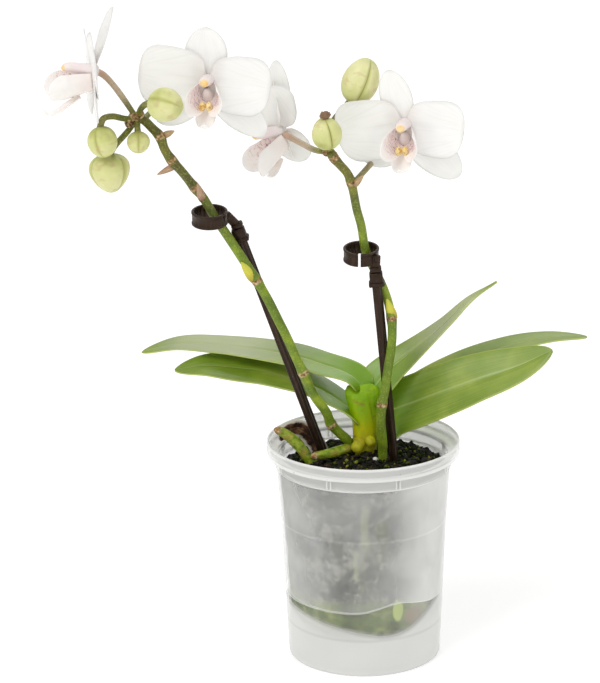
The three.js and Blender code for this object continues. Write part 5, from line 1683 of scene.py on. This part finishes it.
class ORCHID_OT_stage(bpy.types.Operator):
    """Make the camera, the soft lights and the plain floor"""

    bl_idname = "orchid.stage"
    bl_label = "Stage"

    def execute(self, context):
        build_camera()
        build_lights(context.scene.orchid_stage)
        build_floor(context.scene.orchid_stage)
        return {"FINISHED"}


class ORCHID_OT_pot(bpy.types.Operator):
    """Make the frosted pot"""

    bl_idname = "orchid.pot"
    bl_label = "Pot"

    def execute(self, context):
        build_pot(context.scene.orchid_pot)
        return {"FINISHED"}


class ORCHID_OT_mix(bpy.types.Operator):
    """Fill the pot with bark and moss"""

    bl_idname = "orchid.growing_mix"
    bl_label = "Growing mix"

    def execute(self, context):
        build_mix(context.scene.orchid_mix)
        return {"FINISHED"}


class ORCHID_OT_crown(bpy.types.Operator):
    """Make the crown, the dry leaf base and the aerial roots"""

    bl_idname = "orchid.crown"
    bl_label = "Crown and roots"

    def execute(self, context):
        build_crown()
        build_husk()
        build_roots()
        return {"FINISHED"}


class ORCHID_OT_leaves(bpy.types.Operator):
    """Make the leaves"""

    bl_idname = "orchid.leaves"
    bl_label = "Leaves"

    def execute(self, context):
        build_leaves(context.scene.orchid_plant)
        return {"FINISHED"}


class ORCHID_OT_spikes(bpy.types.Operator):
    """Make the flower spikes and their buds"""

    bl_idname = "orchid.spikes"
    bl_label = "Spikes and buds"

    def execute(self, context):
        build_spikes(context.scene.orchid_plant)
        build_buds(context.scene.orchid_plant)
        return {"FINISHED"}


class ORCHID_OT_flowers(bpy.types.Operator):
    """Make the open flowers"""

    bl_idname = "orchid.flowers"
    bl_label = "Flowers"

    def execute(self, context):
        build_flowers(context.scene.orchid_plant)
        return {"FINISHED"}


class ORCHID_OT_stakes(bpy.types.Operator):
    """Make the stakes and their clips"""

    bl_idname = "orchid.stakes"
    bl_label = "Stakes and clips"

    def execute(self, context):
        finish = stake_finish(context.scene.orchid_stakes)
        for name in STAKES:
            build_stake(name, finish)
        for name in CLIPS:
            build_clip(name, finish)
        return {"FINISHED"}


OPERATORS = (ORCHID_OT_stage, ORCHID_OT_pot, ORCHID_OT_mix, ORCHID_OT_crown, ORCHID_OT_leaves,
             ORCHID_OT_spikes, ORCHID_OT_flowers, ORCHID_OT_stakes)
SETTINGS = {
    "orchid_stage": StageSettings,
    "orchid_pot": PotSettings,
    "orchid_mix": MixSettings,
    "orchid_plant": PlantSettings,
    "orchid_stakes": StakeSettings,
}


class ORCHID_PT_pieces(bpy.types.Panel):
    """Lists the orchid's pieces and their settings"""

    bl_idname = "ORCHID_PT_pieces"
    bl_label = "Potted orchid"
    bl_space_type = "VIEW_3D"
    bl_region_type = "UI"
    bl_category = "Orchid"

    def draw(self, context):
        for group, kind in SETTINGS.items():
            box = self.layout.box()
            for key in kind.__annotations__:
                box.prop(getattr(context.scene, group), key)
        for operator in OPERATORS:
            self.layout.operator(operator.bl_idname)


def register():
    for kind in SETTINGS.values():
        bpy.utils.register_class(kind)
    for group, kind in SETTINGS.items():
        setattr(bpy.types.Scene, group, bpy.props.PointerProperty(type=kind))
    for operator in OPERATORS:
        bpy.utils.register_class(operator)
    bpy.utils.register_class(ORCHID_PT_pieces)


def unregister():
    bpy.utils.unregister_class(ORCHID_PT_pieces)
    for operator in reversed(OPERATORS):
        bpy.utils.unregister_class(operator)
    for group, kind in SETTINGS.items():
        delattr(bpy.types.Scene, group)
        bpy.utils.unregister_class(kind)


def main():
    register()
    bpy.ops.orchid.stage()
    bpy.ops.orchid.pot()
    bpy.ops.orchid.growing_mix()
    bpy.ops.orchid.crown()
    bpy.ops.orchid.leaves()
    bpy.ops.orchid.spikes()
    bpy.ops.orchid.flowers()
    bpy.ops.orchid.stakes()
    bpy.context.view_layer.update()


if __name__ == "__main__":
    main()
